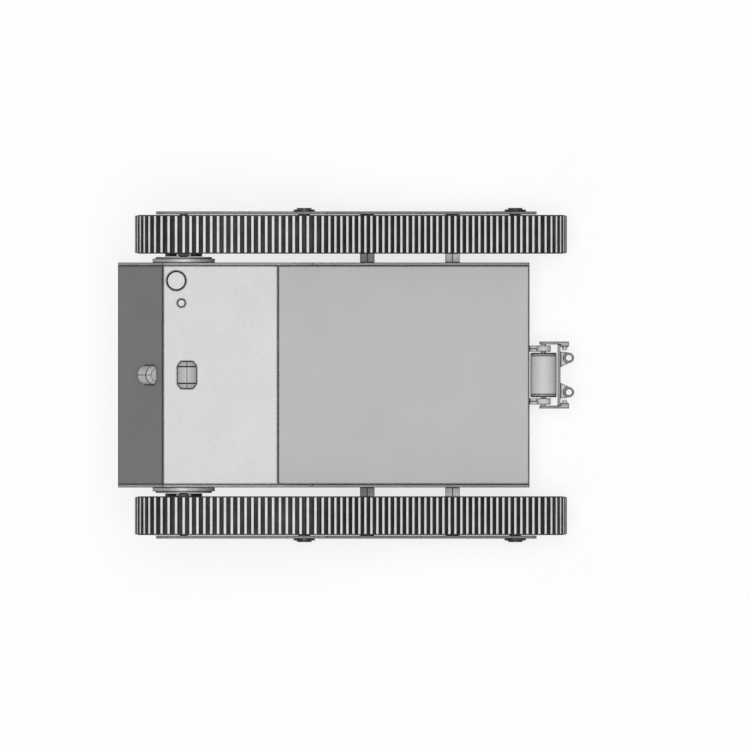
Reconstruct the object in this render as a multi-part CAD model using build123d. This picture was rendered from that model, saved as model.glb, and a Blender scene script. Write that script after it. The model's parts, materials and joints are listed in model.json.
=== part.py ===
from build123d import *
import math
import os
from collections import namedtuple

# Tracked robot chassis: a wedge-backed hull of 3 mm plates between two rubber-track pods,
# with a tilting tow yoke at the tail.
# Frame: +X towards the tail, +Y towards the chassis' right-hand side, +Z up, in millimetres.
# The origin is under the middle of the whole chassis, on the ground.
# Lengths called *_station are measured along X from the hull's front edge.
# Lengths called *_reach or *_face are measured sideways from the middle plane.

# ---------------------------------------------------------------- driving dimensions
# hull
hull_length = 411.5
hull_width = 225.0
plate = 3.0
glacis_angle = 60.0
glacis_run = 44.5
roof_run = 115.5
deck_angle = 30.0
nose_angle = 45.0
ground_clearance = 28.0
seam_station = 193.0
seam_gap = 0.3
rail_size = 8.0
splice_width = 24.0

# wheels and track
sprocket_station = 65.7
upper_station = 186.2
rear_station = 397.2
road_stations = (249.3, 334.5)
sprocket_teeth = 20
lug_pitch_aim = 13.8
idler_radius = 42.0
rear_radius = 45.0
road_radius = 16.5
track_slope = 30.0
track_width = 38.8
track_gap = 8.8
band = 3.0
rib_height = 3.5
rib_top = 2.8
rib_foot = 4.0
ribs_per_lug = 2
lug_length = 5.0
lug_tip_length = 2.6
lug_height = 5.0
lug_width = 10.0
groove_depth = 6.0
lug_side_clearance = 0.7
pocket_play = 2.2
rim_wall = 4.0
wheel_hub_radius = 12.0
sprocket_hub_radius = 14.0
web_thickness = 6.0
web_overlap = 1.0
web_holes = 6
hole_share = 0.32
tread_clearance = 0.3
wheel_side_clearance = 0.6

# track-frame plates, axles and bushes
frame_plate_clearance = 0.5
frame_top_rise = 11.6
frame_front_station = 51.5
frame_front_radius = 13.5
frame_corner_radius = 21.5
frame_foot_radius = 11.0
frame_bend_radius = 0.5
frame_seam_station = 198.6
axle_radius = 4.0
bush_wall = 2.0
running_clearance = 0.05
cap_base_radius = 10.75
cap_base_height = 2.0
cap_top_radius = 7.4
cap_top_height = 1.5
hex_across_flats = 14.5
hex_height = 74.0
spacer_radius = 7.0
tie_bolt_radius = 3.0
tie_head_radius = 5.0
tie_head_height = 4.0

# drive
flange_radius = 31.2
flange_height = 3.8
boss_radius = 28.2
boss_height = 1.7
flange_margin = 3.5
flange_screw_circle = 23.4
flange_screw_count = 6
screw_radius = 1.5
screw_head_radius = 2.8
screw_head_height = 1.4
hub_radius = 18.6
hub_clearance = 0.4
hub_screw_radius = 1.3
hub_screw_angle = 19.0
hub_screw_stand = 0.6
gearbox_radius = 18.5
gearbox_length = 26.0
can_radius = 17.0
can_length = 32.0
shaft_reach_into_gearbox = 18.0
shaft_clearance = 1.0

# roof fittings
button_radius = 9.3
button_station = 58.3
button_offset = 94.3
button_stand = 1.2
button_travel = 1.5
button_gap = 0.35
button_skirt = 5.0
switch_wall = 2.0
switch_floor = 3.0
switch_spare_travel = 0.6
lens_radius = 4.0
lens_station = 63.4
lens_offset = 71.9
lens_stand = 0.6
lens_flange = 1.5
lamp_radius = 9.2
lamp_length = 26.4
lamp_chamfer_length = 4.5
lamp_chamfer_depth = 3.4
lamp_wall = 1.6
lamp_slot_gap = 0.25
light_bar_gap = 0.5
top_lamp_station = 68.9
front_lamp_along = 63.0
cradle_wall = 2.5
cradle_depth = 12.0

# tail hitch
hitch_offset = 14.0
hitch_height = 46.4
tilt_motor_radius = 13.2
tilt_motor_reach = 22.3
ear_gap = 1.0
ear_thickness = 6.2
ear_radius = 7.3
ear_neck = 4.5
ear_low_neck = 3.0
tilt_shaft_radius = 2.5
yoke_clearance = 0.8
yoke_height = 24.0
arm_gap = 1.0
arm_radius = 4.2
arm_screw_radius = 0.8
arm_screw_distance = 12.5
arm_screw_stand = 0.5
tab_length = 8.5
tab_width = 5.2
clamp_screw_radius = 3.4
clamp_screw_tip = 2.2
clamp_screw_length = 3.6
eye_distance = 25.4
eye_offset = 17.2
eye_radius = 5.3
eye_height = 18.0
eye_web_thickness = 4.0
eye_web_inner = 9.5
eye_web_outer = 6.3
pin_head_radius = 3.4
pin_head_height = 2.5
pin_head_clearance = 0.1
pin_radius = 2.6
pin_free_length = 10.0
pin_tip_radius = 2.4
pin_shoulder = 0.5

# electronics
cell_radius = 9.2
cell_length = 65.0
cells_long = 2
cells_wide = 4
cells_high = 2
cell_gap = 0.4
case_wall = 2.0
battery_station = 230.0
board_thickness = 1.6
board_length = 66.0
board_width = 56.0
standoff_height = 8.0
standoff_radius = 3.0
boards_station = 150.0
board_spacing = 72.0
processor_size = 16.0
processor_height = 2.0
socket_length = 40.0
socket_width = 5.0
socket_height = 8.0
socket_inset = 4.0
standoff_end_inset = 4.0
standoff_edge_inset = 12.0
window_width = 40.0
window_height = 26.0

# ---------------------------------------------------------------- worked-out places
yoke_inner_radius = tilt_motor_radius + yoke_clearance
ear_inner = tilt_motor_reach + ear_gap
ear_reach = ear_inner + ear_thickness
arm_inner = ear_reach + arm_gap
yoke_arm_reach = arm_inner + plate
tab_inner_reach = yoke_arm_reach - tab_width
overall_length = hull_length + hitch_offset + eye_distance + eye_radius
front_x = -overall_length / 2
half_width = hull_width / 2
inner_half = half_width - plate

track_inner = half_width + track_gap
track_outer = track_inner + track_width
outer_plate_face = track_outer + frame_plate_clearance
outer_plate_outside = outer_plate_face + plate
inner_plate_face = track_inner + frame_plate_clearance
inner_plate_outside = inner_plate_face + plate
wheel_inner = inner_plate_outside + wheel_side_clearance
wheel_outer = outer_plate_face - wheel_side_clearance
wheel_middle = (wheel_inner + wheel_outer) / 2

Circle2 = namedtuple("Circle2", "x z r")


def station_x(station):
    """X of a distance measured back from the hull's front edge."""
    return front_x + station


# ---------------------------------------------------------------- loops round circles
def run_heading(a, b):
    """Heading of the outer tangent that leaves circle a and meets circle b, clockwise."""
    centre_heading = math.atan2(b.z - a.z, b.x - a.x)
    return centre_heading - math.asin((a.r - b.r) / math.hypot(b.x - a.x, b.z - a.z))


def rim_point(circle, heading, lift=0.0):
    """Point on a circle where the loop has this heading, lifted outwards."""
    reach = circle.r + lift
    return (circle.x - reach * math.sin(heading), circle.z + reach * math.cos(heading))


def loop_stretches(circles):
    """Arc and straight run for each circle of a clockwise loop, with their lengths."""
    stretches = []
    count = len(circles)
    for index, circle in enumerate(circles):
        before = circles[index - 1]
        after = circles[(index + 1) % count]
        heading_in = run_heading(before, circle)
        heading_out = run_heading(circle, after)
        turn = (heading_in - heading_out) % (2 * math.pi)
        run = math.hypot(after.x - circle.x, after.z - circle.z)
        run = math.sqrt(run**2 - (circle.r - after.r) ** 2)
        stretches.append((circle, heading_in, turn, circle.r * turn, heading_out, run))
    return stretches


def loop_length(circles):
    """Length once round the loop."""
    return sum(arc + run for _, _, _, arc, _, run in loop_stretches(circles))


def loop_point(stretches, distance, lift):
    """Point beside the loop: a distance on from its first run's start, and lifted outwards."""
    first_arc = stretches[0][3]
    total = sum(arc + run for _, _, _, arc, _, run in stretches)
    left = (distance + first_arc) % total
    for circle, heading_in, _, arc, heading_out, run in stretches:
        if left <= arc:
            return rim_point(circle, heading_in - left / circle.r, lift)
        left -= arc
        if left <= run:
            break
        left -= run
    x, z = rim_point(circle, heading_out, lift)
    return (x + left * math.cos(heading_out), z + left * math.sin(heading_out))


def loop_face(circles, grow=0.0):
    """Face inside the band that is stretched round the circles, grown outwards."""
    edges = []
    grown = [Circle2(c.x, c.z, c.r + grow) for c in circles]
    for index, circle in enumerate(grown):
        _, heading_in, turn, _, heading_out, _ = loop_stretches(grown)[index]
        start_angle = math.degrees(heading_in) + 90
        edges.append(CenterArc((circle.x, circle.z), circle.r, start_angle, -math.degrees(turn)))
        after = grown[(index + 1) % len(grown)]
        edges.append(Line(rim_point(circle, heading_out), rim_point(after, heading_out)))
    return make_face(edges)


# ---------------------------------------------------------------- solid helpers
def slab(face, side, inner, outer):
    """Face in the XZ plane, made solid between two sideways reaches on one side."""
    low, high = sorted((side * inner, side * outer))
    return extrude(Plane.XZ.offset(-high) * face, amount=high - low)


def across(face, reach):
    """Face in the XZ plane, made solid from -reach to +reach."""
    return slab(face, 1, -reach, reach)


def disc(x, z, radius, side, inner, outer):
    """Round solid along Y between two sideways reaches on one side."""
    return slab(Pos(x, z) * Circle(radius), side, inner, outer)


def ring(x, z, hole, radius, side, inner, outer):
    """Disc with a round hole through it."""
    return slab(Pos(x, z) * Circle(radius) - Pos(x, z) * Circle(hole), side, inner, outer)


def block(x_low, x_high, y_low, y_high, z_low, z_high):
    """Box between two corners."""
    size = (x_high - x_low, y_high - y_low, z_high - z_low)
    middle = ((x_low + x_high) / 2, (y_low + y_high) / 2, (z_low + z_high) / 2)
    return Pos(*middle) * Box(*size)


def post(x, y, z_low, z_high, radius):
    """Upright round solid between two heights."""
    return Pos(x, y, (z_low + z_high) / 2) * Cylinder(radius, z_high - z_low)


def save(node, *pieces):
    """Write one node's solids to its STEP file."""
    solids = [solid for piece in pieces for solid in piece.solids()]
    shape = solids[0] if len(solids) == 1 else Compound(children=solids)
    export_step(shape, f"parts/{node}.step")


os.makedirs("parts", exist_ok=True)
sides = {"left": -1, "right": 1}

# ---------------------------------------------------------------- wheels and track path
lug_pitch = lug_pitch_aim
rear_z = rear_radius + tread_clearance + band + rib_height
lower_z = idler_radius + tread_clearance + band + rib_height
road_z = road_radius + tread_clearance + band + rib_height
axle_drop = (rear_station - upper_station) * math.tan(math.radians(track_slope))
upper_z = rear_z + axle_drop
to_pitch_line = tread_clearance + band / 2


def track_circles(pitch):
    """Circles that the track's pitch line runs round, clockwise from the sprocket."""
    sprocket_pitch_radius = sprocket_teeth * pitch / (2 * math.pi)
    return [
        Circle2(station_x(sprocket_station), upper_z, sprocket_pitch_radius),
        Circle2(station_x(upper_station), upper_z, idler_radius + to_pitch_line),
        Circle2(station_x(rear_station), rear_z, rear_radius + to_pitch_line),
        Circle2(station_x(upper_station), lower_z, idler_radius + to_pitch_line),
    ]


lug_count = round(loop_length(track_circles(lug_pitch)) / lug_pitch)
for _ in range(20):
    lug_pitch = loop_length(track_circles(lug_pitch)) / lug_count
track_path = track_circles(lug_pitch)
track_run = loop_stretches(track_path)
sprocket_circle, upper_circle, rear_circle, lower_circle = track_path
sprocket_radius = sprocket_circle.r - to_pitch_line
road_circles = [Circle2(station_x(s), road_z, road_radius) for s in road_stations]


def track_belt(side):
    """Rubber track: a band with cross ribs outside and one row of drive lugs inside."""
    rib_pitch = lug_pitch / ribs_per_lug
    outline = []
    for rib in range(lug_count * ribs_per_lug):
        middle = rib * rib_pitch
        for offset, lift in (
            (-rib_foot / 2, 0),
            (-rib_top / 2, rib_height),
            (rib_top / 2, rib_height),
            (rib_foot / 2, 0),
        ):
            outline.append(loop_point(track_run, middle + offset, band / 2 + lift))
    ribbed = make_face(Polyline(*outline, close=True))
    belt = slab(ribbed - loop_face(track_path, -band / 2), side, track_inner, track_outer)
    lug_inner = wheel_middle - lug_width / 2
    lug_outer = wheel_middle + lug_width / 2
    lugs = []
    for lug in range(lug_count):
        middle = lug * lug_pitch
        foot = -band / 2 + band / 4
        tip = -band / 2 - lug_height
        corners = [
            loop_point(track_run, middle - lug_length / 2, foot),
            loop_point(track_run, middle - lug_tip_length / 2, tip),
            loop_point(track_run, middle + lug_tip_length / 2, tip),
            loop_point(track_run, middle + lug_length / 2, foot),
        ]
        lugs.append(slab(make_face(Polyline(*corners, close=True)), side, lug_inner, lug_outer))
    return belt.fuse(*lugs)


# ---------------------------------------------------------------- wheels
bush_radius = axle_radius + bush_wall
rim_depth = groove_depth + rim_wall
groove_half = lug_width / 2 + lug_side_clearance


wheel_bore = bush_radius + running_clearance
groove_low = wheel_middle - groove_half
groove_high = wheel_middle + groove_half


def spoked_wheel(x, z, radius, hub, bore, side):
    """Wheel with a deep rim, a thin web with round holes in it and a full-width hub."""
    rim_inner = radius - rim_depth
    web_low = wheel_middle - web_thickness / 2
    web_high = wheel_middle + web_thickness / 2
    wheel = ring(x, z, rim_inner, radius, side, wheel_inner, wheel_outer)
    wheel += ring(x, z, bore, hub, side, wheel_inner, wheel_outer)
    wheel += ring(x, z, bore, rim_inner + web_overlap, side, web_low, web_high)
    hole_circle = (rim_inner + hub) / 2
    for index in range(web_holes):
        angle = 2 * math.pi * (index + 0.5) / web_holes
        hole_x = x + hole_circle * math.cos(angle)
        hole_z = z + hole_circle * math.sin(angle)
        wheel -= disc(hole_x, hole_z, (rim_inner - hub) * hole_share, side, web_low, web_high)
    return wheel


def idler(circle, radius, side):
    """Idler wheel: spoked, with a groove round its rim for the track's lugs."""
    wheel = spoked_wheel(circle.x, circle.z, radius, wheel_hub_radius, wheel_bore, side)
    floor = radius - groove_depth
    return wheel - ring(circle.x, circle.z, floor, radius + 1, side, groove_low, groove_high)


def road_wheel(circle, side):
    """Small road wheel: a solid roller with a groove for the track's lugs."""
    wheel = ring(circle.x, circle.z, wheel_bore, circle.r, side, wheel_inner, wheel_outer)
    floor = circle.r - groove_depth
    return wheel - ring(circle.x, circle.z, floor, circle.r + 1, side, groove_low, groove_high)


def sprocket(side):
    """Drive sprocket: spoked, with a row of pockets that the track's lugs drop into."""
    x, z, _ = sprocket_circle
    wheel = spoked_wheel(x, z, sprocket_radius, sprocket_hub_radius, axle_radius, side)
    top_heading = track_run[0][4]
    pocket = Pos(0, sprocket_radius) * Rectangle(lug_length + pocket_play, 2 * groove_depth)
    for tooth in range(sprocket_teeth):
        angle = math.degrees(top_heading) + 360 / sprocket_teeth * tooth
        face = Pos(x, z) * Rot(0, 0, angle) * pocket
        wheel -= slab(face, side, groove_low, groove_high)
    return wheel


for name, side in sides.items():
    save(f"track_{name}", track_belt(side))
    save(f"sprocket_{name}", sprocket(side))
    save(f"upper_idler_{name}", idler(upper_circle, idler_radius, side))
    save(f"lower_idler_{name}", idler(lower_circle, idler_radius, side))
    save(f"rear_idler_{name}", idler(rear_circle, rear_radius, side))
    for place, circle in zip(("front", "rear"), road_circles):
        save(f"road_wheel_{name}_{place}", road_wheel(circle, side))

# ---------------------------------------------------------------- track-frame plates
frame_top = upper_z + frame_top_rise
slope = math.radians(track_slope)
slope_top = rear_z + frame_corner_radius / math.cos(slope)
bend_x = rear_circle.x - (frame_top - slope_top) / math.tan(slope)
rear_corner = Circle2(rear_circle.x, rear_z, frame_corner_radius)
lower_corner = Circle2(lower_circle.x, lower_z, frame_corner_radius)
feet = [Circle2(c.x, c.z, frame_foot_radius) for c in reversed(road_circles)]
front_corner = Circle2(
    station_x(frame_front_station), frame_top - frame_front_radius, frame_front_radius
)
bend_corner = Circle2(
    bend_x - frame_bend_radius * math.tan(slope / 2),
    frame_top - frame_bend_radius,
    frame_bend_radius,
)
upper_corner = Circle2(upper_circle.x, frame_top - frame_corner_radius, frame_corner_radius)
outer_outline = [front_corner, bend_corner, rear_corner, *feet, lower_corner]
inner_outline = [upper_corner, rear_corner, *feet, lower_corner]

axle_circles = [upper_circle, rear_circle, lower_circle, *road_circles]
hex_places = [(circle.x, hex_height) for circle in road_circles]
seam_x = station_x(frame_seam_station)
far = 2 * overall_length


def half_plane(x_low, x_high):
    """Face over all heights between two places along the chassis."""
    return Pos((x_low + x_high) / 2, 0) * Rectangle(x_high - x_low, far)


def outer_plate_faces():
    """Front and rear halves of the outer track-frame plate, with their holes."""
    face = loop_face(outer_outline)
    for circle in axle_circles:
        face -= Pos(circle.x, circle.z) * Circle(axle_radius)
    face -= Pos(sprocket_circle.x, sprocket_circle.z) * Circle(bush_radius)
    for x, z in hex_places:
        face -= Pos(x, z) * Circle(tie_bolt_radius)
    front = face & half_plane(-far, seam_x - seam_gap / 2)
    rear = face & half_plane(seam_x + seam_gap / 2, far)
    return {"front": front, "rear": rear}


def inner_plate_shape():
    """Inner track-frame plate, with its holes."""
    face = loop_face(inner_outline)
    for circle in axle_circles:
        face -= Pos(circle.x, circle.z) * Circle(axle_radius)
    for x, z in hex_places:
        face -= Pos(x, z) * Circle(tie_bolt_radius)
    return face


def hub_cap(circle, side):
    """Two-step cap over an axle end, on the outside of the outer plate."""
    base_top = outer_plate_outside + cap_base_height
    cap = disc(circle.x, circle.z, cap_base_radius, side, outer_plate_outside, base_top)
    return cap + disc(circle.x, circle.z, cap_top_radius, side, base_top, base_top + cap_top_height)


outer_halves = outer_plate_faces()
outer_plates = {half: [] for half in outer_halves}
inner_plates = []
axles = []
bushes = []
spacers = []
hexes = []
ties = []
caps = []
hexagon = RegularPolygon(hex_across_flats / 2, 6, major_radius=False, rotation=30)
for side in sides.values():
    for half, face in outer_halves.items():
        outer_plates[half].append(slab(face, side, outer_plate_face, outer_plate_outside))
    inner_plates.append(slab(inner_plate_shape(), side, inner_plate_face, inner_plate_outside))
    for circle in axle_circles:
        axles.append(
            disc(circle.x, circle.z, axle_radius, side, inner_plate_face, outer_plate_outside)
        )
        bushes.append(
            ring(
                circle.x, circle.z, axle_radius, bush_radius,
                side, inner_plate_outside, outer_plate_face,
            )
        )
    bushes.append(
        ring(
            sprocket_circle.x, sprocket_circle.z, axle_radius + running_clearance, bush_radius,
            side, outer_plate_face, outer_plate_outside,
        )
    )
    for x, z in hex_places:
        hex_face = Pos(x, z) * hexagon - Pos(x, z) * Circle(tie_bolt_radius)
        hexes.append(slab(hex_face, side, half_width, inner_plate_face))
        spacers.append(
            ring(x, z, tie_bolt_radius, spacer_radius, side, inner_plate_outside, outer_plate_face)
        )
        bolt = disc(x, z, tie_bolt_radius, side, inner_half - tie_head_height, outer_plate_outside)
        bolt += disc(x, z, tie_head_radius, side, inner_half - tie_head_height, inner_half)
        ties.append(bolt)
    caps += [hub_cap(circle, side) for circle in (upper_circle, rear_circle, lower_circle)]
for half, plates in outer_plates.items():
    save(f"outer_plates_{half}", *plates)
save("inner_plates", *inner_plates)
save("wheel_axles", *axles)
save("wheel_bushes", *bushes)
save("frame_spacers", *spacers)
save("hex_standoffs", *hexes)
save("tie_bolts", *ties)
save("hub_caps", *caps)

# ---------------------------------------------------------------- hull
shaft_hole = axle_radius + shaft_clearance
flange_screw_places = []
for bolt in range(flange_screw_count):
    angle = 2 * math.pi * (bolt + 0.5) / flange_screw_count
    flange_screw_places.append(
        (
            sprocket_circle.x + flange_screw_circle * math.cos(angle),
            upper_z + flange_screw_circle * math.sin(angle),
        )
    )
roof_z = upper_z + flange_radius + flange_margin
glacis_rise = glacis_run * math.tan(math.radians(glacis_angle))
nose_z = roof_z - glacis_rise
deck_run = hull_length - glacis_run - roof_run
tail_z = roof_z - deck_run * math.tan(math.radians(deck_angle))
nose_foot = (nose_z - ground_clearance) / math.tan(math.radians(nose_angle))
hull_corners = [
    (station_x(0), nose_z),
    (station_x(glacis_run), roof_z),
    (station_x(glacis_run + roof_run), roof_z),
    (station_x(hull_length), tail_z),
    (station_x(hull_length), ground_clearance),
    (station_x(nose_foot), ground_clearance),
]
panel_names = ("front_panel", "top_panel", "rear_deck", "tail_plate", "belly_plate", "nose_panel")


def inset_corner(corners, index, depth):
    """Corner of the outline that runs a depth inside a clockwise outline."""
    before = corners[index - 1]
    here = corners[index]
    after = corners[(index + 1) % len(corners)]
    heading_in = math.atan2(here[1] - before[1], here[0] - before[0])
    heading_out = math.atan2(after[1] - here[1], after[0] - here[0])
    half_turn = (heading_out - heading_in) / 2
    bisector = heading_in + half_turn - math.pi / 2
    reach = depth / math.cos(half_turn)
    return (here[0] + reach * math.cos(bisector), here[1] + reach * math.sin(bisector))


def inset(corners, depth):
    """Outline that runs a depth inside a clockwise outline."""
    return [inset_corner(corners, index, depth) for index in range(len(corners))]


def strip_face(outer, inner, index):
    """Mitred strip between two outlines along one of their sides."""
    after = (index + 1) % len(outer)
    return make_face(Polyline(outer[index], outer[after], inner[after], inner[index], close=True))


panel_inner = inset(hull_corners, plate)
rail_inner = inset(hull_corners, plate + rail_size)
panels = {}
rails = []
for index, panel_name in enumerate(panel_names):
    panels[panel_name] = across(strip_face(hull_corners, panel_inner, index), inner_half)
    for side in sides.values():
        rail_face = strip_face(panel_inner, rail_inner, index)
        rails.append(slab(rail_face, side, inner_half - rail_size, inner_half))

side_outline = make_face(Polyline(*hull_corners, close=True))
side_outline -= Pos(sprocket_circle.x, upper_z) * Circle(shaft_hole)
for x, z in hex_places:
    side_outline -= Pos(x, z) * Circle(tie_bolt_radius)
for x, z in flange_screw_places:
    side_outline -= Pos(x, z) * Circle(screw_radius)
hull_seam_x = station_x(seam_station)
front_half = side_outline & half_plane(-far, hull_seam_x - seam_gap / 2)
rear_half = side_outline & half_plane(hull_seam_x + seam_gap / 2, far)
for half, face in {"front": front_half, "rear": rear_half}.items():
    halves = [slab(face, side, inner_half, half_width) for side in sides.values()]
    save(f"side_plates_{half}", *halves)


def deck_height(x):
    """Height of the hull's outer skin over a point at or behind the roof."""
    behind_roof = max(0.0, x - station_x(glacis_run + roof_run))
    return roof_z - behind_roof * math.tan(math.radians(deck_angle))


# The bulkhead's folded edges splice the two halves of each side plate.
splice_low = ground_clearance + plate + rail_size
under_deck = (plate + rail_size) / math.cos(math.radians(deck_angle))
splice_high = deck_height(hull_seam_x + splice_width / 2) - under_deck
web_reach = inner_half - rail_size
window_low = (splice_low + splice_high) / 2
bulkhead = block(
    hull_seam_x - plate / 2, hull_seam_x + plate / 2,
    -inner_half, inner_half,
    splice_low, splice_high,
)
bulkhead += block(
    hull_seam_x - plate / 2, hull_seam_x + plate / 2,
    -web_reach, web_reach,
    ground_clearance + plate, splice_low,
)
bulkhead -= block(
    hull_seam_x - plate, hull_seam_x + plate,
    -window_width / 2, window_width / 2,
    window_low, window_low + window_height,
)
for side in sides.values():
    bulkhead += block(
        hull_seam_x - splice_width / 2, hull_seam_x + splice_width / 2,
        *sorted((side * (inner_half - plate), side * inner_half)),
        splice_low, splice_high,
    )
save("bulkhead", bulkhead)

# ---------------------------------------------------------------- roof button and indicator
roof_inner = roof_z - plate
button_x = station_x(button_station)
button_hole = button_radius + button_gap
button_top = roof_z + button_stand
button_bottom = roof_inner - button_skirt
switch_bottom = button_bottom - button_travel - switch_spare_travel - switch_floor
panels["top_panel"] -= post(button_x, button_offset, roof_inner - 1, roof_z + 1, button_hole)
save("power_button", post(button_x, button_offset, button_bottom, button_top, button_radius))
switch_radius = button_hole + switch_wall
switch = post(button_x, button_offset, switch_bottom, roof_inner, switch_radius)
switch -= post(
    button_x, button_offset, switch_bottom + switch_floor, roof_inner + 1, button_hole
)
save("button_switch", switch)
notch_radius = switch_radius + button_gap
notch = post(button_x, button_offset, switch_bottom - 1, roof_inner + 1, notch_radius)
save("corner_rails", *[rail - notch for rail in rails])

lens_x = station_x(lens_station)
panels["top_panel"] -= post(lens_x, lens_offset, roof_inner - 1, roof_z + 1, lens_radius)
lens = post(lens_x, lens_offset, roof_inner, roof_z + lens_stand, lens_radius)
lens += post(lens_x, lens_offset, roof_inner - lens_flange, roof_inner, lens_radius + lens_flange)
save("status_lens", lens)

# ---------------------------------------------------------------- capsule lamps
def barrel(radius, length, shrink=0.0):
    """Solid barrel along local X with chamfered ends, all its walls moved in by shrink."""
    half = length / 2 - shrink
    body = radius - shrink
    tip = body - lamp_chamfer_depth
    shoulder = half - lamp_chamfer_length
    outline = Polyline(
        (-half, 0), (-half, tip), (-shoulder, body), (shoulder, body), (half, tip), (half, 0),
        close=True,
    )
    return revolve(make_face(outline), Axis.X, 360)


top_lamp_place = Pos(station_x(top_lamp_station), 0, roof_z) * Rot(0, 0, 90)
glacis_heading = math.radians(glacis_angle)
front_lamp_place = Pos(
    station_x(0) + front_lamp_along * math.cos(glacis_heading),
    0,
    nose_z + front_lamp_along * math.sin(glacis_heading),
) * Rot(0, -glacis_angle, 0)
lamp_places = [(top_lamp_place, "top_panel"), (front_lamp_place, "front_panel")]
covers = []
cradles = []
light_bars = []
for place, panel_name in lamp_places:
    shell = barrel(lamp_radius, lamp_length) - barrel(lamp_radius, lamp_length, lamp_wall)
    covers.append(place * shell)
    slot = place * barrel(lamp_radius, lamp_length, -lamp_slot_gap)
    panels[panel_name] -= slot
    cradle_length = lamp_length + 2 * cradle_wall
    cradle_width = 2 * (lamp_radius + cradle_wall)
    cradle = Pos(0, 0, -plate - cradle_depth / 2) * Box(cradle_length, cradle_width, cradle_depth)
    cradles.append(place * cradle - slot)
    bar_length = lamp_length - 2 * (lamp_chamfer_length + lamp_wall)
    bar_width = 2 * (lamp_radius - lamp_wall - light_bar_gap)
    light_bars.append(place * Box(bar_length, bar_width, board_thickness))
save("lamp_covers", *covers)
save("lamp_cradles", *cradles)
save("lamp_light_bars", *light_bars)

# ---------------------------------------------------------------- drives
motor_inner = inner_half - gearbox_length
shaft_inner = inner_half - shaft_reach_into_gearbox
gearmotors = []
for name, side in sides.items():
    x, z = sprocket_circle.x, upper_z
    save(f"drive_shaft_{name}", disc(x, z, axle_radius, side, shaft_inner, outer_plate_outside))
    gearmotor = disc(x, z, gearbox_radius, side, motor_inner, inner_half)
    gearmotor += disc(x, z, can_radius, side, motor_inner - can_length, motor_inner)
    gearmotor -= disc(x, z, axle_radius + running_clearance, side, shaft_inner - 1, inner_half)
    for screw_x, screw_z in flange_screw_places:
        gearmotor -= disc(screw_x, screw_z, screw_radius, side, motor_inner, inner_half)
    gearmotors.append(gearmotor)
save("gearmotors", *gearmotors)

flanges = []
flange_screws = []
flange_face = half_width + flange_height + boss_height
for name, side in sides.items():
    x, z = sprocket_circle.x, upper_z
    boss_low = half_width + flange_height
    flange = ring(x, z, shaft_hole, flange_radius, side, half_width, boss_low)
    flange += ring(x, z, shaft_hole, boss_radius, side, boss_low, flange_face)
    head_low = flange_face - screw_head_height
    for screw_x, screw_z in flange_screw_places:
        screw = disc(screw_x, screw_z, screw_head_radius, side, head_low, flange_face)
        screw += disc(screw_x, screw_z, screw_radius, side, inner_half, head_low)
        flange -= screw
        flange_screws.append(screw)
    flanges.append(flange)

    hub_low = flange_face + hub_clearance
    hub = ring(x, z, axle_radius, hub_radius, side, hub_low, wheel_inner)
    hub_middle = side * (hub_low + track_inner) / 2
    screws = []
    screw_length = hub_radius + hub_screw_stand - axle_radius
    for angle in (-hub_screw_angle, hub_screw_angle, 180 - hub_screw_angle, 180 + hub_screw_angle):
        screw = Pos(0, 0, axle_radius + screw_length / 2) * Cylinder(hub_screw_radius, screw_length)
        screw = Pos(x, hub_middle, z) * Rot(0, angle, 0) * screw
        hub -= screw
        screws.append(screw)
    save(f"drive_hub_{name}", hub)
    save(f"hub_screws_{name}", *screws)
save("motor_flanges", *flanges)
save("flange_screws", *flange_screws)

# ---------------------------------------------------------------- battery and boards
floor_z = ground_clearance + plate
cell_pitch = 2 * cell_radius + cell_gap
pack_length = cells_long * (cell_length + cell_gap) + cell_gap
pack_width = cells_wide * cell_pitch + cell_gap
pack_height = cells_high * cell_pitch + cell_gap
battery_x = station_x(battery_station)
cells = []
for row in range(cells_long):
    for column in range(cells_wide):
        for layer in range(cells_high):
            cell_x = battery_x + case_wall + cell_gap + row * (cell_length + cell_gap)
            cell_y = -pack_width / 2 + cell_gap + cell_radius + column * cell_pitch
            cell_z = floor_z + case_wall + cell_gap + cell_radius + layer * cell_pitch
            cell = Rot(0, 90, 0) * Cylinder(cell_radius, cell_length)
            cells.append(Pos(cell_x + cell_length / 2, cell_y, cell_z) * cell)
save("battery_cells", *cells)
case = block(
    battery_x, battery_x + pack_length + 2 * case_wall,
    -pack_width / 2 - case_wall, pack_width / 2 + case_wall,
    floor_z, floor_z + pack_height + 2 * case_wall,
)
case -= block(
    battery_x + case_wall, battery_x + case_wall + pack_length,
    -pack_width / 2, pack_width / 2,
    floor_z + case_wall, floor_z + case_wall + pack_height,
)
save("battery_case", case)


def circuit_board(x, y):
    """Board with a processor, a row of sockets and four mounting holes."""
    low = floor_z + standoff_height
    top = low + board_thickness
    board = block(
        x - board_length / 2, x + board_length / 2, y - board_width / 2, y + board_width / 2, low, top
    )
    half_chip = processor_size / 2
    board += block(
        x - half_chip, x + half_chip, y - half_chip, y + half_chip, top, top + processor_height
    )
    for edge in (-1, 1):
        socket_y = y + edge * (board_width / 2 - socket_inset)
        board += block(
            x - socket_length / 2, x + socket_length / 2,
            socket_y - socket_width / 2, socket_y + socket_width / 2,
            top, top + socket_height,
        )
    return board


boards_x = station_x(boards_station)
boards = []
board_posts = []
for y in (-board_spacing / 2, board_spacing / 2):
    board = circuit_board(boards_x, y)
    for corner_x in (-1, 1):
        for corner_y in (-1, 1):
            post_x = boards_x + corner_x * (board_length / 2 - standoff_end_inset)
            post_y = y + corner_y * (board_width / 2 - standoff_edge_inset)
            board_posts.append(
                post(post_x, post_y, floor_z, floor_z + standoff_height, standoff_radius)
            )
    boards.append(board)
save("circuit_boards", *boards)
save("board_standoffs", *board_posts)

# ---------------------------------------------------------------- tail hitch
hinge_x = station_x(hull_length) + hitch_offset
hinge_z = hitch_height
shaft_bore = tilt_shaft_radius + running_clearance


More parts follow.
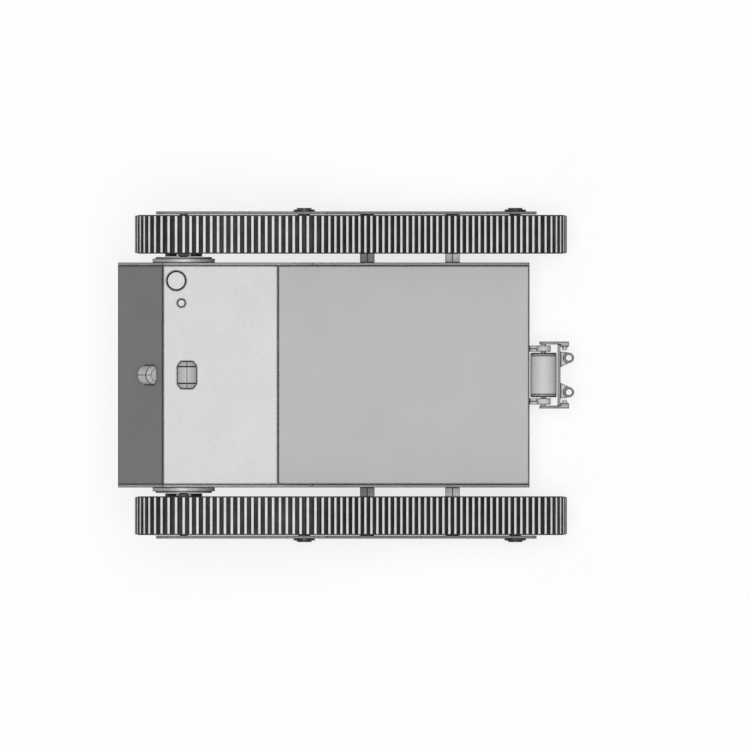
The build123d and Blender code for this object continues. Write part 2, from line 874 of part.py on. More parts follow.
def hinge_point(x, z=0.0):
    """Point given from the tilt axis."""
    return Pos(hinge_x + x, hinge_z + z)


ears = []
neck_step = (ear_inner + ear_reach) / 2
for side in sides.values():
    neck = hinge_point(-hitch_offset / 2) * Rectangle(hitch_offset, 2 * ear_neck)
    low_neck = hinge_point(-hitch_offset / 2) * Rectangle(hitch_offset, 2 * ear_low_neck)
    ear = slab(hinge_point(0) * Circle(ear_radius), side, ear_inner, ear_reach)
    ear += slab(neck, side, neck_step, ear_reach)
    ear += slab(low_neck, side, ear_inner, neck_step)
    ears.append(ear - slab(hinge_point(0) * Circle(shaft_bore), side, 0, ear_reach))
save("hitch_ears", *ears)

motor_face = hinge_point(0) * Circle(tilt_motor_radius) - hinge_point(0) * Circle(shaft_bore)
save("tilt_motor", across(motor_face, tilt_motor_reach))
save("tilt_shaft", across(hinge_point(0) * Circle(tilt_shaft_radius), yoke_arm_reach))

back_face = yoke_inner_radius + plate
back_middle = (yoke_inner_radius + back_face) / 2
yoke = across(hinge_point(back_middle) * Rectangle(plate, yoke_height), arm_inner)
yoke_screws = []
for side in sides.values():
    arm_length = back_face + tab_length
    arm = hinge_point(arm_length / 2) * Rectangle(arm_length, 2 * arm_radius)
    arm += hinge_point(0) * Circle(arm_radius)
    arm -= hinge_point(0) * Circle(tilt_shaft_radius)
    tab = hinge_point(back_face + tab_length / 2) * Rectangle(tab_length, 2 * arm_radius)
    yoke += slab(arm, side, arm_inner, yoke_arm_reach)
    yoke += slab(tab, side, tab_inner_reach, arm_inner)
    arm_screw = post(
        hinge_x + arm_screw_distance, side * (arm_inner + yoke_arm_reach) / 2,
        hinge_z - arm_radius, hinge_z + arm_radius + arm_screw_stand, arm_screw_radius,
    )
    yoke -= arm_screw
    clamp_screw = Pos(
        hinge_x + back_face + tab_length / 2,
        side * (tab_inner_reach - clamp_screw_length / 2),
        hinge_z,
    ) * Rot(side * 90, 0, 0) * Cone(clamp_screw_radius, clamp_screw_tip, clamp_screw_length)
    yoke_screws += [arm_screw, clamp_screw]

eyes = []
eye_low = hinge_z - eye_height / 2
eye_high = hinge_z + eye_height / 2
for name, side in sides.items():
    eye_x = hinge_x + eye_distance
    eye_y = side * eye_offset
    foot_x = hinge_x + back_face
    web = make_face(
        Polyline(
            (foot_x, eye_y - side * eye_web_inner), (foot_x, eye_y + side * eye_web_outer),
            (eye_x, eye_y + side * eye_radius), (eye_x, eye_y - side * eye_radius),
            close=True,
        )
    )
    web_low = hinge_z - eye_web_thickness / 2
    eye = extrude(Pos(0, 0, web_low) * web, amount=eye_web_thickness)
    eye += post(eye_x, eye_y, eye_low, eye_high, eye_radius)
    eye -= post(eye_x, eye_y, eye_low - 1, eye_high + 1, pin_radius + running_clearance)
    eye -= post(
        eye_x, eye_y, eye_high - pin_head_height, eye_high + 1, pin_head_radius + pin_head_clearance
    )
    eyes.append(eye)
    pin = post(eye_x, eye_y, eye_high - pin_head_height, eye_high, pin_head_radius)
    tip_high = eye_low - pin_shoulder
    pin += post(eye_x, eye_y, tip_high, eye_high - pin_head_height, pin_radius)
    pin += post(eye_x, eye_y, eye_low - pin_free_length, tip_high, pin_tip_radius)
    save(f"tow_pin_{name}", pin)
save("tow_eyes", *eyes)
save("tilt_yoke", yoke)
save("yoke_screws", *yoke_screws)

# ---------------------------------------------------------------- panels, last, with all cuts
for panel_name, panel in panels.items():
    save(panel_name, panel)
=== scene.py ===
"""Tracked robot chassis: detailed pieces, finishes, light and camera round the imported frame."""

from __future__ import annotations

import json
import logging
import math
from dataclasses import dataclass, field
from enum import Enum
from typing import Callable, Iterable, Sequence

import bmesh
import bpy
from mathutils import Matrix, Vector

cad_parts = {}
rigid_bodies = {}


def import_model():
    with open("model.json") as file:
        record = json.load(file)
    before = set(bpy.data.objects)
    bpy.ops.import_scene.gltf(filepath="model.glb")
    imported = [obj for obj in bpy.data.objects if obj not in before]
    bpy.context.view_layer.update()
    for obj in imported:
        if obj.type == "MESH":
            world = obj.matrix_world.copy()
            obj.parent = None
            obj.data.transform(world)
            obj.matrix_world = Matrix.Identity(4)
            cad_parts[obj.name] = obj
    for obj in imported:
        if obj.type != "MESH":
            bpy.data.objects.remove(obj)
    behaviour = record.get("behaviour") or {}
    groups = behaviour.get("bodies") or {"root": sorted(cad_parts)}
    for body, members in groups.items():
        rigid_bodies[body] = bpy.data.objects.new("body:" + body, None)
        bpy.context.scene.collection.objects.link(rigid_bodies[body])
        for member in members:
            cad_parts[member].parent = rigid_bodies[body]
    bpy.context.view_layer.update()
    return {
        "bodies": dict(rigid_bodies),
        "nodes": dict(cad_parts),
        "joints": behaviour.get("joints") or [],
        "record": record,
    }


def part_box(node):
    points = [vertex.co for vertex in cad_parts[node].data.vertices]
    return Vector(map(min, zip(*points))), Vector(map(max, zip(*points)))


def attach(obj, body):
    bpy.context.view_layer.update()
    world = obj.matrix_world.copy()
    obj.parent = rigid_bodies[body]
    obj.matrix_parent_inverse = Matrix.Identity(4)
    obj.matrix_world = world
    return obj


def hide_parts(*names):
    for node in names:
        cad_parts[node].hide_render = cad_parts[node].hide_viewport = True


LOG = logging.getLogger("chassis")
MM = 0.001
CHASSIS = "chassis"
Point = tuple[float, float]
Colour = tuple[float, float, float, float]


# ---------------------------------------------------------------- finishes
def grey(level: float, warmth: float = 0.0) -> Colour:
    """Linear colour of a grey given on the 0 to 255 display scale, warmed or cooled a little."""
    def linear(value: float) -> float:
        share = min(max(value / 255, 0.0), 1.0)
        return share / 12.92 if share <= 0.04045 else ((share + 0.055) / 1.055) ** 2.4

    return (linear(level + warmth), linear(level), linear(level - warmth), 1.0)


class Texture(Enum):
    """Fine relief of a surface."""

    POWDER = "powder"
    BRUSHED = "brushed"
    TURNED = "turned"
    RUBBER = "rubber"
    MOULDED = "moulded"


class Graph:
    """A node tree, with short calls to add nodes and join them."""

    def __init__(self, tree: bpy.types.NodeTree) -> None:
        """Starts an empty tree."""
        self.tree = tree
        tree.nodes.clear()

    def add(self, kind: str, **settings: object) -> bpy.types.Node:
        """Adds a node.

        Args:
            kind: the node type's identifier.
            settings: properties of the node, or values of its inputs by name.

        Returns:
            The new node.
        """
        node = self.tree.nodes.new(kind)
        for key, value in settings.items():
            if hasattr(node, key):
                setattr(node, key, value)
            else:
                node.inputs[key.replace("_", " ")].default_value = value
        return node

    def join(self, start: bpy.types.NodeSocket, end: bpy.types.NodeSocket) -> None:
        """Links two sockets."""
        self.tree.links.new(start, end)

    def maths(
        self, operation: str, first: bpy.types.NodeSocket | float, second: bpy.types.NodeSocket | float = 0.0
    ) -> bpy.types.NodeSocket:
        """Adds a Math node.

        Args:
            operation: the node's operation.
            first: its first input, as a socket or a number.
            second: its second input, as a socket or a number.

        Returns:
            Its output socket.
        """
        node = self.add("ShaderNodeMath", operation=operation)
        for socket, value in zip(node.inputs, (first, second)):
            if isinstance(value, bpy.types.NodeSocket):
                self.join(value, socket)
            else:
                socket.default_value = value
        return node.outputs[0]

    def ramp(
        self, value: bpy.types.NodeSocket, low: float, high: float, to_low: float = 0.0, to_high: float = 1.0
    ) -> bpy.types.NodeSocket:
        """Adds a clamped Map Range node.

        Args:
            value: the socket to map.
            low: the value that gives to_low.
            high: the value that gives to_high.
            to_low: the lowest result.
            to_high: the highest result.

        Returns:
            Its output socket.
        """
        node = self.add("ShaderNodeMapRange", From_Min=low, From_Max=high, To_Min=to_low, To_Max=to_high)
        self.join(value, node.inputs["Value"])
        return node.outputs["Result"]

    def mixed(
        self, share: bpy.types.NodeSocket, first: bpy.types.NodeSocket, second: bpy.types.NodeSocket
    ) -> bpy.types.NodeSocket:
        """Adds a colour Mix node.

        Args:
            share: how much of the second colour shows.
            first: the first colour.
            second: the second colour.

        Returns:
            Its colour output.
        """
        node = self.add("ShaderNodeMix", data_type="RGBA")
        self.join(share, node.inputs["Factor"])
        self.join(first, node.inputs[6])
        self.join(second, node.inputs[7])
        return node.outputs[2]

    def noise(
        self, vector: bpy.types.NodeSocket, scale: bpy.types.NodeSocket | float, detail: float = 4.0
    ) -> bpy.types.NodeSocket:
        """Adds a Noise Texture node.

        Args:
            vector: where the pattern is read.
            scale: its scale, as a socket or a number.
            detail: its number of octaves.

        Returns:
            Its value output.
        """
        node = self.add("ShaderNodeTexNoise", Detail=detail)
        self.join(vector, node.inputs["Vector"])
        if isinstance(scale, bpy.types.NodeSocket):
            self.join(scale, node.inputs["Scale"])
        else:
            node.inputs["Scale"].default_value = scale
        return node.outputs[0]

    def stretched(self, vector: bpy.types.NodeSocket, scale: Sequence[float]) -> bpy.types.NodeSocket:
        """Scales a pattern's coordinates apart along X, Y and Z."""
        node = self.add("ShaderNodeMapping", Scale=tuple(scale))
        self.join(vector, node.inputs["Vector"])
        return node.outputs[0]


class EffectGroups:
    """Shader effects that the finishes share, each a node group made once."""

    def __init__(self) -> None:
        """Builds every group."""
        self.tone = self._tone()
        self.wear = self._wear()
        self.dust = self._dust()
        self.scorch = self._scorch()
        self.relief = {
            Texture.POWDER: self._relief("powder_relief", (1, 1, 1), 1500, 260),
            Texture.BRUSHED: self._relief("brushed_relief", (1.5, 60, 60), 28, 9),
            Texture.RUBBER: self._relief("rubber_relief", (1, 1, 1), 900, 110),
            Texture.MOULDED: self._relief("moulded_relief", (1, 1, 1), 2200, 60),
            Texture.TURNED: self._rings(),
        }

    @staticmethod
    def _start(name: str, inputs: Iterable[tuple[str, str]], outputs: Iterable[tuple[str, str]]) -> tuple:
        """Makes an empty group with its sockets.

        Args:
            name: the group's name.
            inputs: name and socket type of each input.
            outputs: name and socket type of each output.

        Returns:
            The group, its graph, its input node and its output node.
        """
        tree = bpy.data.node_groups.new(name, "ShaderNodeTree")
        for label, kind in inputs:
            tree.interface.new_socket(name=label, in_out="INPUT", socket_type=kind)
        for label, kind in outputs:
            tree.interface.new_socket(name=label, in_out="OUTPUT", socket_type=kind)
        graph = Graph(tree)
        return tree, graph, graph.add("NodeGroupInput"), graph.add("NodeGroupOutput")

    def _tone(self) -> bpy.types.NodeTree:
        """Uneven colour and gloss: broad clouds and small flecks."""
        tree, graph, given, out = self._start(
            "uneven_tone",
            (("Vector", "NodeSocketVector"), ("Tone", "NodeSocketColor"), ("Shade", "NodeSocketColor"),
             ("Scale", "NodeSocketFloat"), ("Smooth", "NodeSocketFloat"), ("Rough", "NodeSocketFloat")),
            (("Color", "NodeSocketColor"), ("Roughness", "NodeSocketFloat")),
        )
        clouds = graph.noise(given.outputs["Vector"], given.outputs["Scale"], 5)
        flecks = graph.noise(given.outputs["Vector"], graph.maths("MULTIPLY", given.outputs["Scale"], 23), 3)
        both = graph.maths("ADD", graph.maths("MULTIPLY", clouds, 0.65), graph.maths("MULTIPLY", flecks, 0.35))
        share = graph.ramp(both, 0.36, 0.66)
        graph.join(graph.mixed(share, given.outputs["Tone"], given.outputs["Shade"]), out.inputs["Color"])
        gloss = graph.add("ShaderNodeMix", data_type="FLOAT")
        graph.join(graph.ramp(flecks, 0.3, 0.7), gloss.inputs[0])
        graph.join(given.outputs["Smooth"], gloss.inputs[2])
        graph.join(given.outputs["Rough"], gloss.inputs[3])
        graph.join(gloss.outputs[0], out.inputs["Roughness"])
        return tree

    def _wear(self) -> bpy.types.NodeTree:
        """Rubbed edges: a mask where the surface bends sharply, broken up by noise."""
        tree, graph, given, out = self._start(
            "edge_wear",
            (("Color", "NodeSocketColor"), ("Bare", "NodeSocketColor"), ("Vector", "NodeSocketVector"),
             ("Amount", "NodeSocketFloat")),
            (("Color", "NodeSocketColor"), ("Mask", "NodeSocketFloat")),
        )
        rounded = graph.add("ShaderNodeBevel", samples=4, Radius=0.9 * MM)
        true = graph.add("ShaderNodeNewGeometry")
        alike = graph.add("ShaderNodeVectorMath", operation="DOT_PRODUCT")
        graph.join(rounded.outputs[0], alike.inputs[0])
        graph.join(true.outputs["Normal"], alike.inputs[1])
        bent = graph.ramp(alike.outputs["Value"], 0.99, 0.86)
        broken = graph.ramp(graph.noise(given.outputs["Vector"], 240, 6), 0.45, 0.62)
        mask = graph.maths("MULTIPLY", graph.maths("MULTIPLY", bent, broken), given.outputs["Amount"])
        graph.join(graph.mixed(mask, given.outputs["Color"], given.outputs["Bare"]), out.inputs["Color"])
        graph.join(mask, out.inputs["Mask"])
        return tree

    def _dust(self) -> bpy.types.NodeTree:
        """Thin dust on what faces up, thicker in patches."""
        tree, graph, given, out = self._start(
            "settled_dust",
            (("Color", "NodeSocketColor"), ("Dust", "NodeSocketColor"), ("Vector", "NodeSocketVector"),
             ("Amount", "NodeSocketFloat")),
            (("Color", "NodeSocketColor"), ("Mask", "NodeSocketFloat")),
        )
        facing = graph.add("ShaderNodeSeparateXYZ")
        graph.join(graph.add("ShaderNodeNewGeometry").outputs["Normal"], facing.inputs[0])
        up = graph.ramp(facing.outputs["Z"], 0.2, 0.9)
        patches = graph.ramp(graph.noise(given.outputs["Vector"], 45, 7), 0.42, 0.7)
        mask = graph.maths("MULTIPLY", graph.maths("MULTIPLY", up, patches), given.outputs["Amount"])
        graph.join(graph.mixed(mask, given.outputs["Color"], given.outputs["Dust"]), out.inputs["Color"])
        graph.join(mask, out.inputs["Mask"])
        return tree

    def _scorch(self) -> bpy.types.NodeTree:
        """Dark line that cutting leaves along every sharp edge."""
        tree, graph, given, out = self._start(
            "scorched_edge",
            (("Color", "NodeSocketColor"), ("Line", "NodeSocketColor"), ("Amount", "NodeSocketFloat"),
             ("Reach", "NodeSocketFloat")),
            (("Color", "NodeSocketColor"), ("Mask", "NodeSocketFloat")),
        )
        rounded = graph.add("ShaderNodeBevel", samples=6)
        graph.join(given.outputs["Reach"], rounded.inputs["Radius"])
        true = graph.add("ShaderNodeNewGeometry")
        alike = graph.add("ShaderNodeVectorMath", operation="DOT_PRODUCT")
        graph.join(rounded.outputs[0], alike.inputs[0])
        graph.join(true.outputs["Normal"], alike.inputs[1])
        mask = graph.maths("MULTIPLY", graph.ramp(alike.outputs["Value"], 0.998, 0.985), given.outputs["Amount"])
        graph.join(graph.mixed(mask, given.outputs["Color"], given.outputs["Line"]), out.inputs["Color"])
        graph.join(mask, out.inputs["Mask"])
        return tree

    def _relief(self, name: str, stretch: Sequence[float], fine: float, broad: float) -> bpy.types.NodeTree:
        """Height of a grain made of two noises.

        Args:
            name: the group's name.
            stretch: how the grain is drawn out along X, Y and Z.
            fine: scale of the small grain.
            broad: scale of the large grain.

        Returns:
            The group.
        """
        tree, graph, given, out = self._start(
            name, (("Vector", "NodeSocketVector"),), (("Height", "NodeSocketFloat"),)
        )
        drawn = graph.stretched(given.outputs["Vector"], stretch)
        small = graph.noise(drawn, fine, 3)
        large = graph.noise(drawn, broad, 3)
        height = graph.maths("ADD", graph.maths("MULTIPLY", small, 0.6), graph.maths("MULTIPLY", large, 0.4))
        graph.join(height, out.inputs["Height"])
        return tree

    def _rings(self) -> bpy.types.NodeTree:
        """Height of the fine rings that turning leaves round a sideways axis."""
        tree, graph, given, out = self._start(
            "turned_relief", (("Vector", "NodeSocketVector"),), (("Height", "NodeSocketFloat"),)
        )
        flat = graph.stretched(given.outputs["Vector"], (1, 0, 1))
        length = graph.add("ShaderNodeVectorMath", operation="LENGTH")
        graph.join(flat, length.inputs[0])
        wobble = graph.maths("MULTIPLY", graph.noise(given.outputs["Vector"], 70, 2), 0.0006)
        radius = graph.maths("ADD", length.outputs["Value"], wobble)
        graph.join(graph.maths("SINE", graph.maths("MULTIPLY", radius, 9000)), out.inputs["Height"])
        return tree


@dataclass(frozen=True)
class Finish:
    """A paint, metal, rubber or plastic, and how it has worn."""

    name: str
    tone: Colour
    shade: Colour
    texture: Texture
    smooth: float
    rough: float
    metallic: float = 0.0
    scale: float = 22.0
    bump: float = 0.15
    wear: float = 0.35
    bare: Colour = grey(225)
    dust: float = 0.08
    dust_tone: Colour = grey(205, 4)
    scorch: float = 0.0
    scorch_reach: float = 2.8 * MM
    ring_centre: tuple[float, float, float] = (0.0, 0.0, 0.0)

    def build(self, effects: EffectGroups) -> bpy.types.Material:
        """Makes the material.

        Args:
            effects: the shared node groups.

        Returns:
            The material, with its shader outside every group.
        """
        material = bpy.data.materials.new(self.name)
        material.use_nodes = True
        graph = Graph(material.node_tree)
        place = graph.add("ShaderNodeTexCoord").outputs["Object"]
        centred = graph.add("ShaderNodeMapping", Location=tuple(-c for c in self.ring_centre))
        graph.join(place, centred.inputs["Vector"])
        tone = graph.add("ShaderNodeGroup", node_tree=effects.tone)
        for label, value in (("Tone", self.tone), ("Shade", self.shade), ("Scale", self.scale),
                             ("Smooth", self.smooth), ("Rough", self.rough)):
            tone.inputs[label].default_value = value
        worn = graph.add("ShaderNodeGroup", node_tree=effects.wear)
        worn.inputs["Bare"].default_value = self.bare
        worn.inputs["Amount"].default_value = self.wear
        dusty = graph.add("ShaderNodeGroup", node_tree=effects.dust)
        dusty.inputs["Dust"].default_value = self.dust_tone
        dusty.inputs["Amount"].default_value = self.dust
        relief = graph.add("ShaderNodeGroup", node_tree=effects.relief[self.texture])
        bump = graph.add("ShaderNodeBump", Strength=self.bump, Distance=0.15 * MM)
        shader = graph.add("ShaderNodeBsdfPrincipled", Metallic=self.metallic)
        end = graph.add("ShaderNodeOutputMaterial")
        for group in (tone, worn, dusty):
            graph.join(place, group.inputs["Vector"])
        graph.join(centred.outputs[0], relief.inputs["Vector"])
        graph.join(tone.outputs["Color"], worn.inputs["Color"])
        graph.join(worn.outputs["Color"], dusty.inputs["Color"])
        shown = dusty.outputs["Color"]
        if self.scorch:
            line = graph.add("ShaderNodeGroup", node_tree=effects.scorch)
            for label, value in (("Line", grey(8)), ("Amount", self.scorch), ("Reach", self.scorch_reach)):
                line.inputs[label].default_value = value
            graph.join(shown, line.inputs["Color"])
            shown = line.outputs["Color"]
        graph.join(shown, shader.inputs["Base Color"])
        graph.join(graph.maths("ADD", tone.outputs["Roughness"], graph.maths("MULTIPLY", dusty.outputs["Mask"], 0.3)),
                   shader.inputs["Roughness"])
        graph.join(relief.outputs["Height"], bump.inputs["Height"])
        graph.join(bump.outputs["Normal"], shader.inputs["Normal"])
        graph.join(shader.outputs[0], end.inputs["Surface"])
        return material


FINISHES = (
    Finish("paint_light", grey(210), grey(205), Texture.POWDER, 0.50, 0.62, scorch=1.0),
    # painted shade: this rear-deck grey is darker than the roof grey to stand for the shade on its 30° slope
    Finish("deck_paint_painted_shade", grey(194), grey(189), Texture.POWDER, 0.52, 0.64, scorch=1.0),
    # painted shade: this front-slope grey is much darker than the roof grey to stand for the shade on its 60° slope
    Finish("front_paint_painted_shade", grey(119), grey(113), Texture.POWDER, 0.54, 0.66, dust=0.04, scorch=1.0),
    Finish("paint_frame", grey(214), grey(205), Texture.POWDER, 0.48, 0.60, scorch=1.0),
    # near-black: dark cut edges on chamfered edges, and a painted shadow line round the rims of the button and lens
    Finish("cut_edge_and_shadow_line", grey(16), grey(6), Texture.BRUSHED, 0.60, 0.80, bump=0.3, wear=0.0, dust=0.0),
    Finish("tread_black", grey(38), grey(24), Texture.RUBBER, 0.70, 0.90, bump=0.5, wear=0.25, bare=grey(90), dust=0.05),
    Finish("tread_scuffed", grey(228), grey(208), Texture.RUBBER, 0.72, 0.90, scale=60, bump=0.5, wear=0.0),
    Finish("wheel_grey", grey(92), grey(80), Texture.MOULDED, 0.45, 0.60, bump=0.2, wear=0.3, bare=grey(140)),
    Finish("turned_flange", grey(196), grey(176), Texture.TURNED, 0.48, 0.62, metallic=0.25, bump=0.2, wear=0.3, scorch=0.8, scorch_reach=1.6 * MM),
    Finish("black_oxide", grey(40), grey(28), Texture.TURNED, 0.34, 0.50, metallic=0.4, bump=0.2, wear=0.4, bare=grey(120)),
    Finish("bright_steel", grey(206), grey(188), Texture.BRUSHED, 0.42, 0.56, metallic=0.25, bump=0.15),
    Finish("bearing_bronze", grey(150, 24), grey(128, 22), Texture.TURNED, 0.32, 0.45, metallic=0.7),
    # painted light: the bar metal is toned near white to make up for the shade the hex bars sit in, deep between hull
    # and track plates
    Finish("bar_metal_painted_light", grey(244), grey(234), Texture.BRUSHED, 0.50, 0.62, bump=0.2, bare=grey(250), scorch=0.8, scorch_reach=1.4 * MM),
    Finish("hitch_metal_mid", grey(172), grey(160), Texture.POWDER, 0.55, 0.68, bump=0.15, bare=grey(190), dust=0.03, scorch=1.0, scorch_reach=2.2 * MM),
    Finish("hitch_metal_light", grey(202), grey(192), Texture.BRUSHED, 0.52, 0.66, bump=0.15, bare=grey(215), dust=0.03, scorch=1.0, scorch_reach=2.0 * MM),
    Finish("fitting_light", grey(208), grey(200), Texture.MOULDED, 0.42, 0.56, bump=0.15, wear=0.25),
    Finish("lamp_shell", grey(188), grey(180), Texture.MOULDED, 0.46, 0.60, bump=0.15, wear=0.25, dust=0.02),
    Finish("fitting_mid", grey(176), grey(168), Texture.MOULDED, 0.36, 0.50, bump=0.15, wear=0.25),
    Finish("fitting_dark", grey(96), grey(84), Texture.MOULDED, 0.40, 0.56, bump=0.15, wear=0.3, bare=grey(150)),
    Finish("lens_clear", grey(214), grey(206), Texture.MOULDED, 0.12, 0.22, bump=0.05, wear=0.1, dust=0.02),
    Finish("cell_sleeve", grey(70), grey(58), Texture.MOULDED, 0.30, 0.42),
    Finish("case_black", grey(48), grey(40), Texture.MOULDED, 0.45, 0.60, bare=grey(110)),
    Finish("board_laminate", (0.02, 0.09, 0.05, 1.0), (0.015, 0.07, 0.04, 1.0), Texture.MOULDED, 0.35, 0.50, wear=0.1),
)


# ---------------------------------------------------------------- modelling by hand
def deselect() -> None:
    """Leaves nothing selected."""
    if bpy.context.object and bpy.context.object.mode != "OBJECT":
        bpy.ops.object.mode_set(mode="OBJECT")
    bpy.ops.object.select_all(action="DESELECT")


def select_only(*objects: bpy.types.Object) -> None:
    """Selects these objects alone, the first of them active."""
    deselect()
    for thing in objects:
        thing.select_set(True)
    bpy.context.view_layer.objects.active = objects[0]


def seat(piece: bpy.types.Object) -> None:
    """Applies a piece's place, turn and scale to its mesh."""
    select_only(piece)
    bpy.ops.object.transform_apply(location=True, rotation=True, scale=True)


def pick(piece: bpy.types.Object, test: Callable[[bmesh.types.BMFace], bool]) -> int:
    """Selects faces in edit mode by a test.

    Args:
        piece: the object being edited.
        test: says whether a face is wanted.

    Returns:
        How many faces are selected.
    """
    shape = bmesh.from_edit_mesh(piece.data)
    for part in (*shape.verts, *shape.edges, *shape.faces):
        part.select_set(False)
    chosen = [face for face in shape.faces if test(face)]
    for face in chosen:
        face.select_set(True)
    shape.select_flush_mode()
    bmesh.update_edit_mesh(piece.data)
    return len(chosen)


def chamfered(piece: bpy.types.Object, width: float, segments: int = 1, slot: int = -1, angle: float = 32.0) -> None:
    """Bevels a piece's sharp edges and applies it.

    Args:
        piece: the object.
        width: the bevel's width.
        segments: its steps.
        slot: material slot of the bevel's faces, or -1 for their neighbours'.
        angle: bend in degrees from which an edge counts as sharp.
    """
    select_only(piece)
    bevel = piece.modifiers.new("edges", "BEVEL")
    bevel.width = width
    bevel.segments = segments
    bevel.material = slot
    bevel.limit_method = "ANGLE"
    bevel.angle_limit = math.radians(angle)
    bpy.ops.object.modifier_apply(modifier=bevel.name)


def smoothed(piece: bpy.types.Object, angle: float = 32.0) -> None:
    """Shades a piece smooth across its gentle bends."""
    select_only(piece)
    bpy.ops.object.shade_smooth_by_angle(angle=math.radians(angle))
    even = piece.modifiers.new("even_normals", "WEIGHTED_NORMAL")
    even.keep_sharp = True
    bpy.ops.object.modifier_apply(modifier=even.name)


def turned(axis: Vector, place: Vector) -> Matrix:
    """Matrix that lays local Z along an axis, at a place."""
    return Matrix.Translation(place) @ Vector((0, 0, 1)).rotation_difference(axis).to_matrix().to_4x4()


def lathe(name: str, profile: Sequence[Point], matrix: Matrix, steps: int = 56) -> bpy.types.Object:
    """Turns a closed piece from its half section.

    Args:
        name: the piece's name.
        profile: radius and distance along the axis of each point, from one end's middle to the other's.
        matrix: lays the lathe's Z axis where the piece goes.
        steps: facets round the axis.

    Returns:
        The piece, seated at the origin.
    """
    deselect()
    bpy.ops.mesh.primitive_plane_add(size=MM, location=(0, 0, 0))
    piece = bpy.context.object
    piece.name = piece.data.name = name
    bpy.ops.object.mode_set(mode="EDIT")
    bpy.ops.mesh.select_all(action="SELECT")
    bpy.ops.mesh.merge(type="CENTER")
    bpy.ops.transform.translate(value=(profile[0][0], 0, profile[0][1]))
    for (radius, along), (next_radius, next_along) in zip(profile, profile[1:]):
        bpy.ops.mesh.extrude_region_move(
            TRANSFORM_OT_translate={"value": (next_radius - radius, 0, next_along - along)}
        )
    bpy.ops.mesh.select_all(action="SELECT")
    bpy.ops.mesh.spin(steps=steps, angle=2 * math.pi, center=(0, 0, 0), axis=(0, 0, 1))
    bpy.ops.mesh.select_all(action="SELECT")
    bpy.ops.mesh.remove_doubles(threshold=1e-6)
    bpy.ops.mesh.normals_make_consistent(inside=False)
    bpy.ops.object.mode_set(mode="OBJECT")
    piece.matrix_world = matrix
    seat(piece)
    smoothed(piece)
    return piece


def carved(piece: bpy.types.Object, tool: bpy.types.Object) -> None:
    """Cuts one piece with another, which is used up."""
    cut = piece.modifiers.new("cut", "BOOLEAN")
    cut.operation = "DIFFERENCE"
    cut.solver = "EXACT"
    cut.object = tool
    select_only(piece)
    bpy.ops.object.modifier_apply(modifier=cut.name)
    bpy.data.objects.remove(tool, do_unlink=True)


def socket_screw(name: str, radius: float, height: float, key: float) -> bpy.types.Object:
    """Models a round screw head with a hexagon socket, its top at the origin and facing +Z.

    Args:
        name: the piece's name.
        radius: radius of the head.
        height: height of the head.
        key: radius of the socket.

    Returns:
        The screw head.
    """
    lip = 0.16 * radius
    head = lathe(name, ((0, -height), (radius, -height), (radius, -lip), (radius - lip, 0), (0, 0)), Matrix(), 28)
    deselect()
    bpy.ops.mesh.primitive_cylinder_add(vertices=6, radius=key, depth=height, location=(0, 0, 0))
    carved(head, bpy.context.object)
    smoothed(head)
    return head


def repeated(template: bpy.types.Object, name: str, places: Iterable[Matrix]) -> bpy.types.Object:
    """Copies a template to each place and joins the copies.

    Args:
        template: the piece that is copied, which is used up.
        name: the joined piece's name.
        places: one matrix for each copy.

    Returns:
        The joined piece.
    """
    copies = []
    for matrix in places:
        copy = bpy.data.objects.new(name, template.data.copy())
        copy.data.transform(matrix)
        bpy.context.scene.collection.objects.link(copy)
        copies.append(copy)
    bpy.data.objects.remove(template, do_unlink=True)
    select_only(*copies)
    if len(copies) > 1:
        bpy.ops.object.join()
    joined = bpy.context.view_layer.objects.active
    joined.name = joined.data.name = name
    return joined


def joined(name: str, *pieces: bpy.types.Object) -> bpy.types.Object:
    """Joins pieces under one name."""
    select_only(*pieces)
    bpy.ops.object.join()
    pieces[0].name = pieces[0].data.name = name
    return pieces[0]


@dataclass
class Box:
    """A CAD node's box at rest."""

    node: str
    low: Vector = field(init=False)
    high: Vector = field(init=False)

    def __post_init__(self) -> None:
        """Reads the box from the frame."""
        low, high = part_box(self.node)
        self.low, self.high = Vector(low), Vector(high)

    @property
    def middle(self) -> Vector:
        """Middle of the box."""
        return (self.low + self.high) / 2

    @property
    def size(self) -> Vector:
        """Size of the box."""
        return self.high - self.low


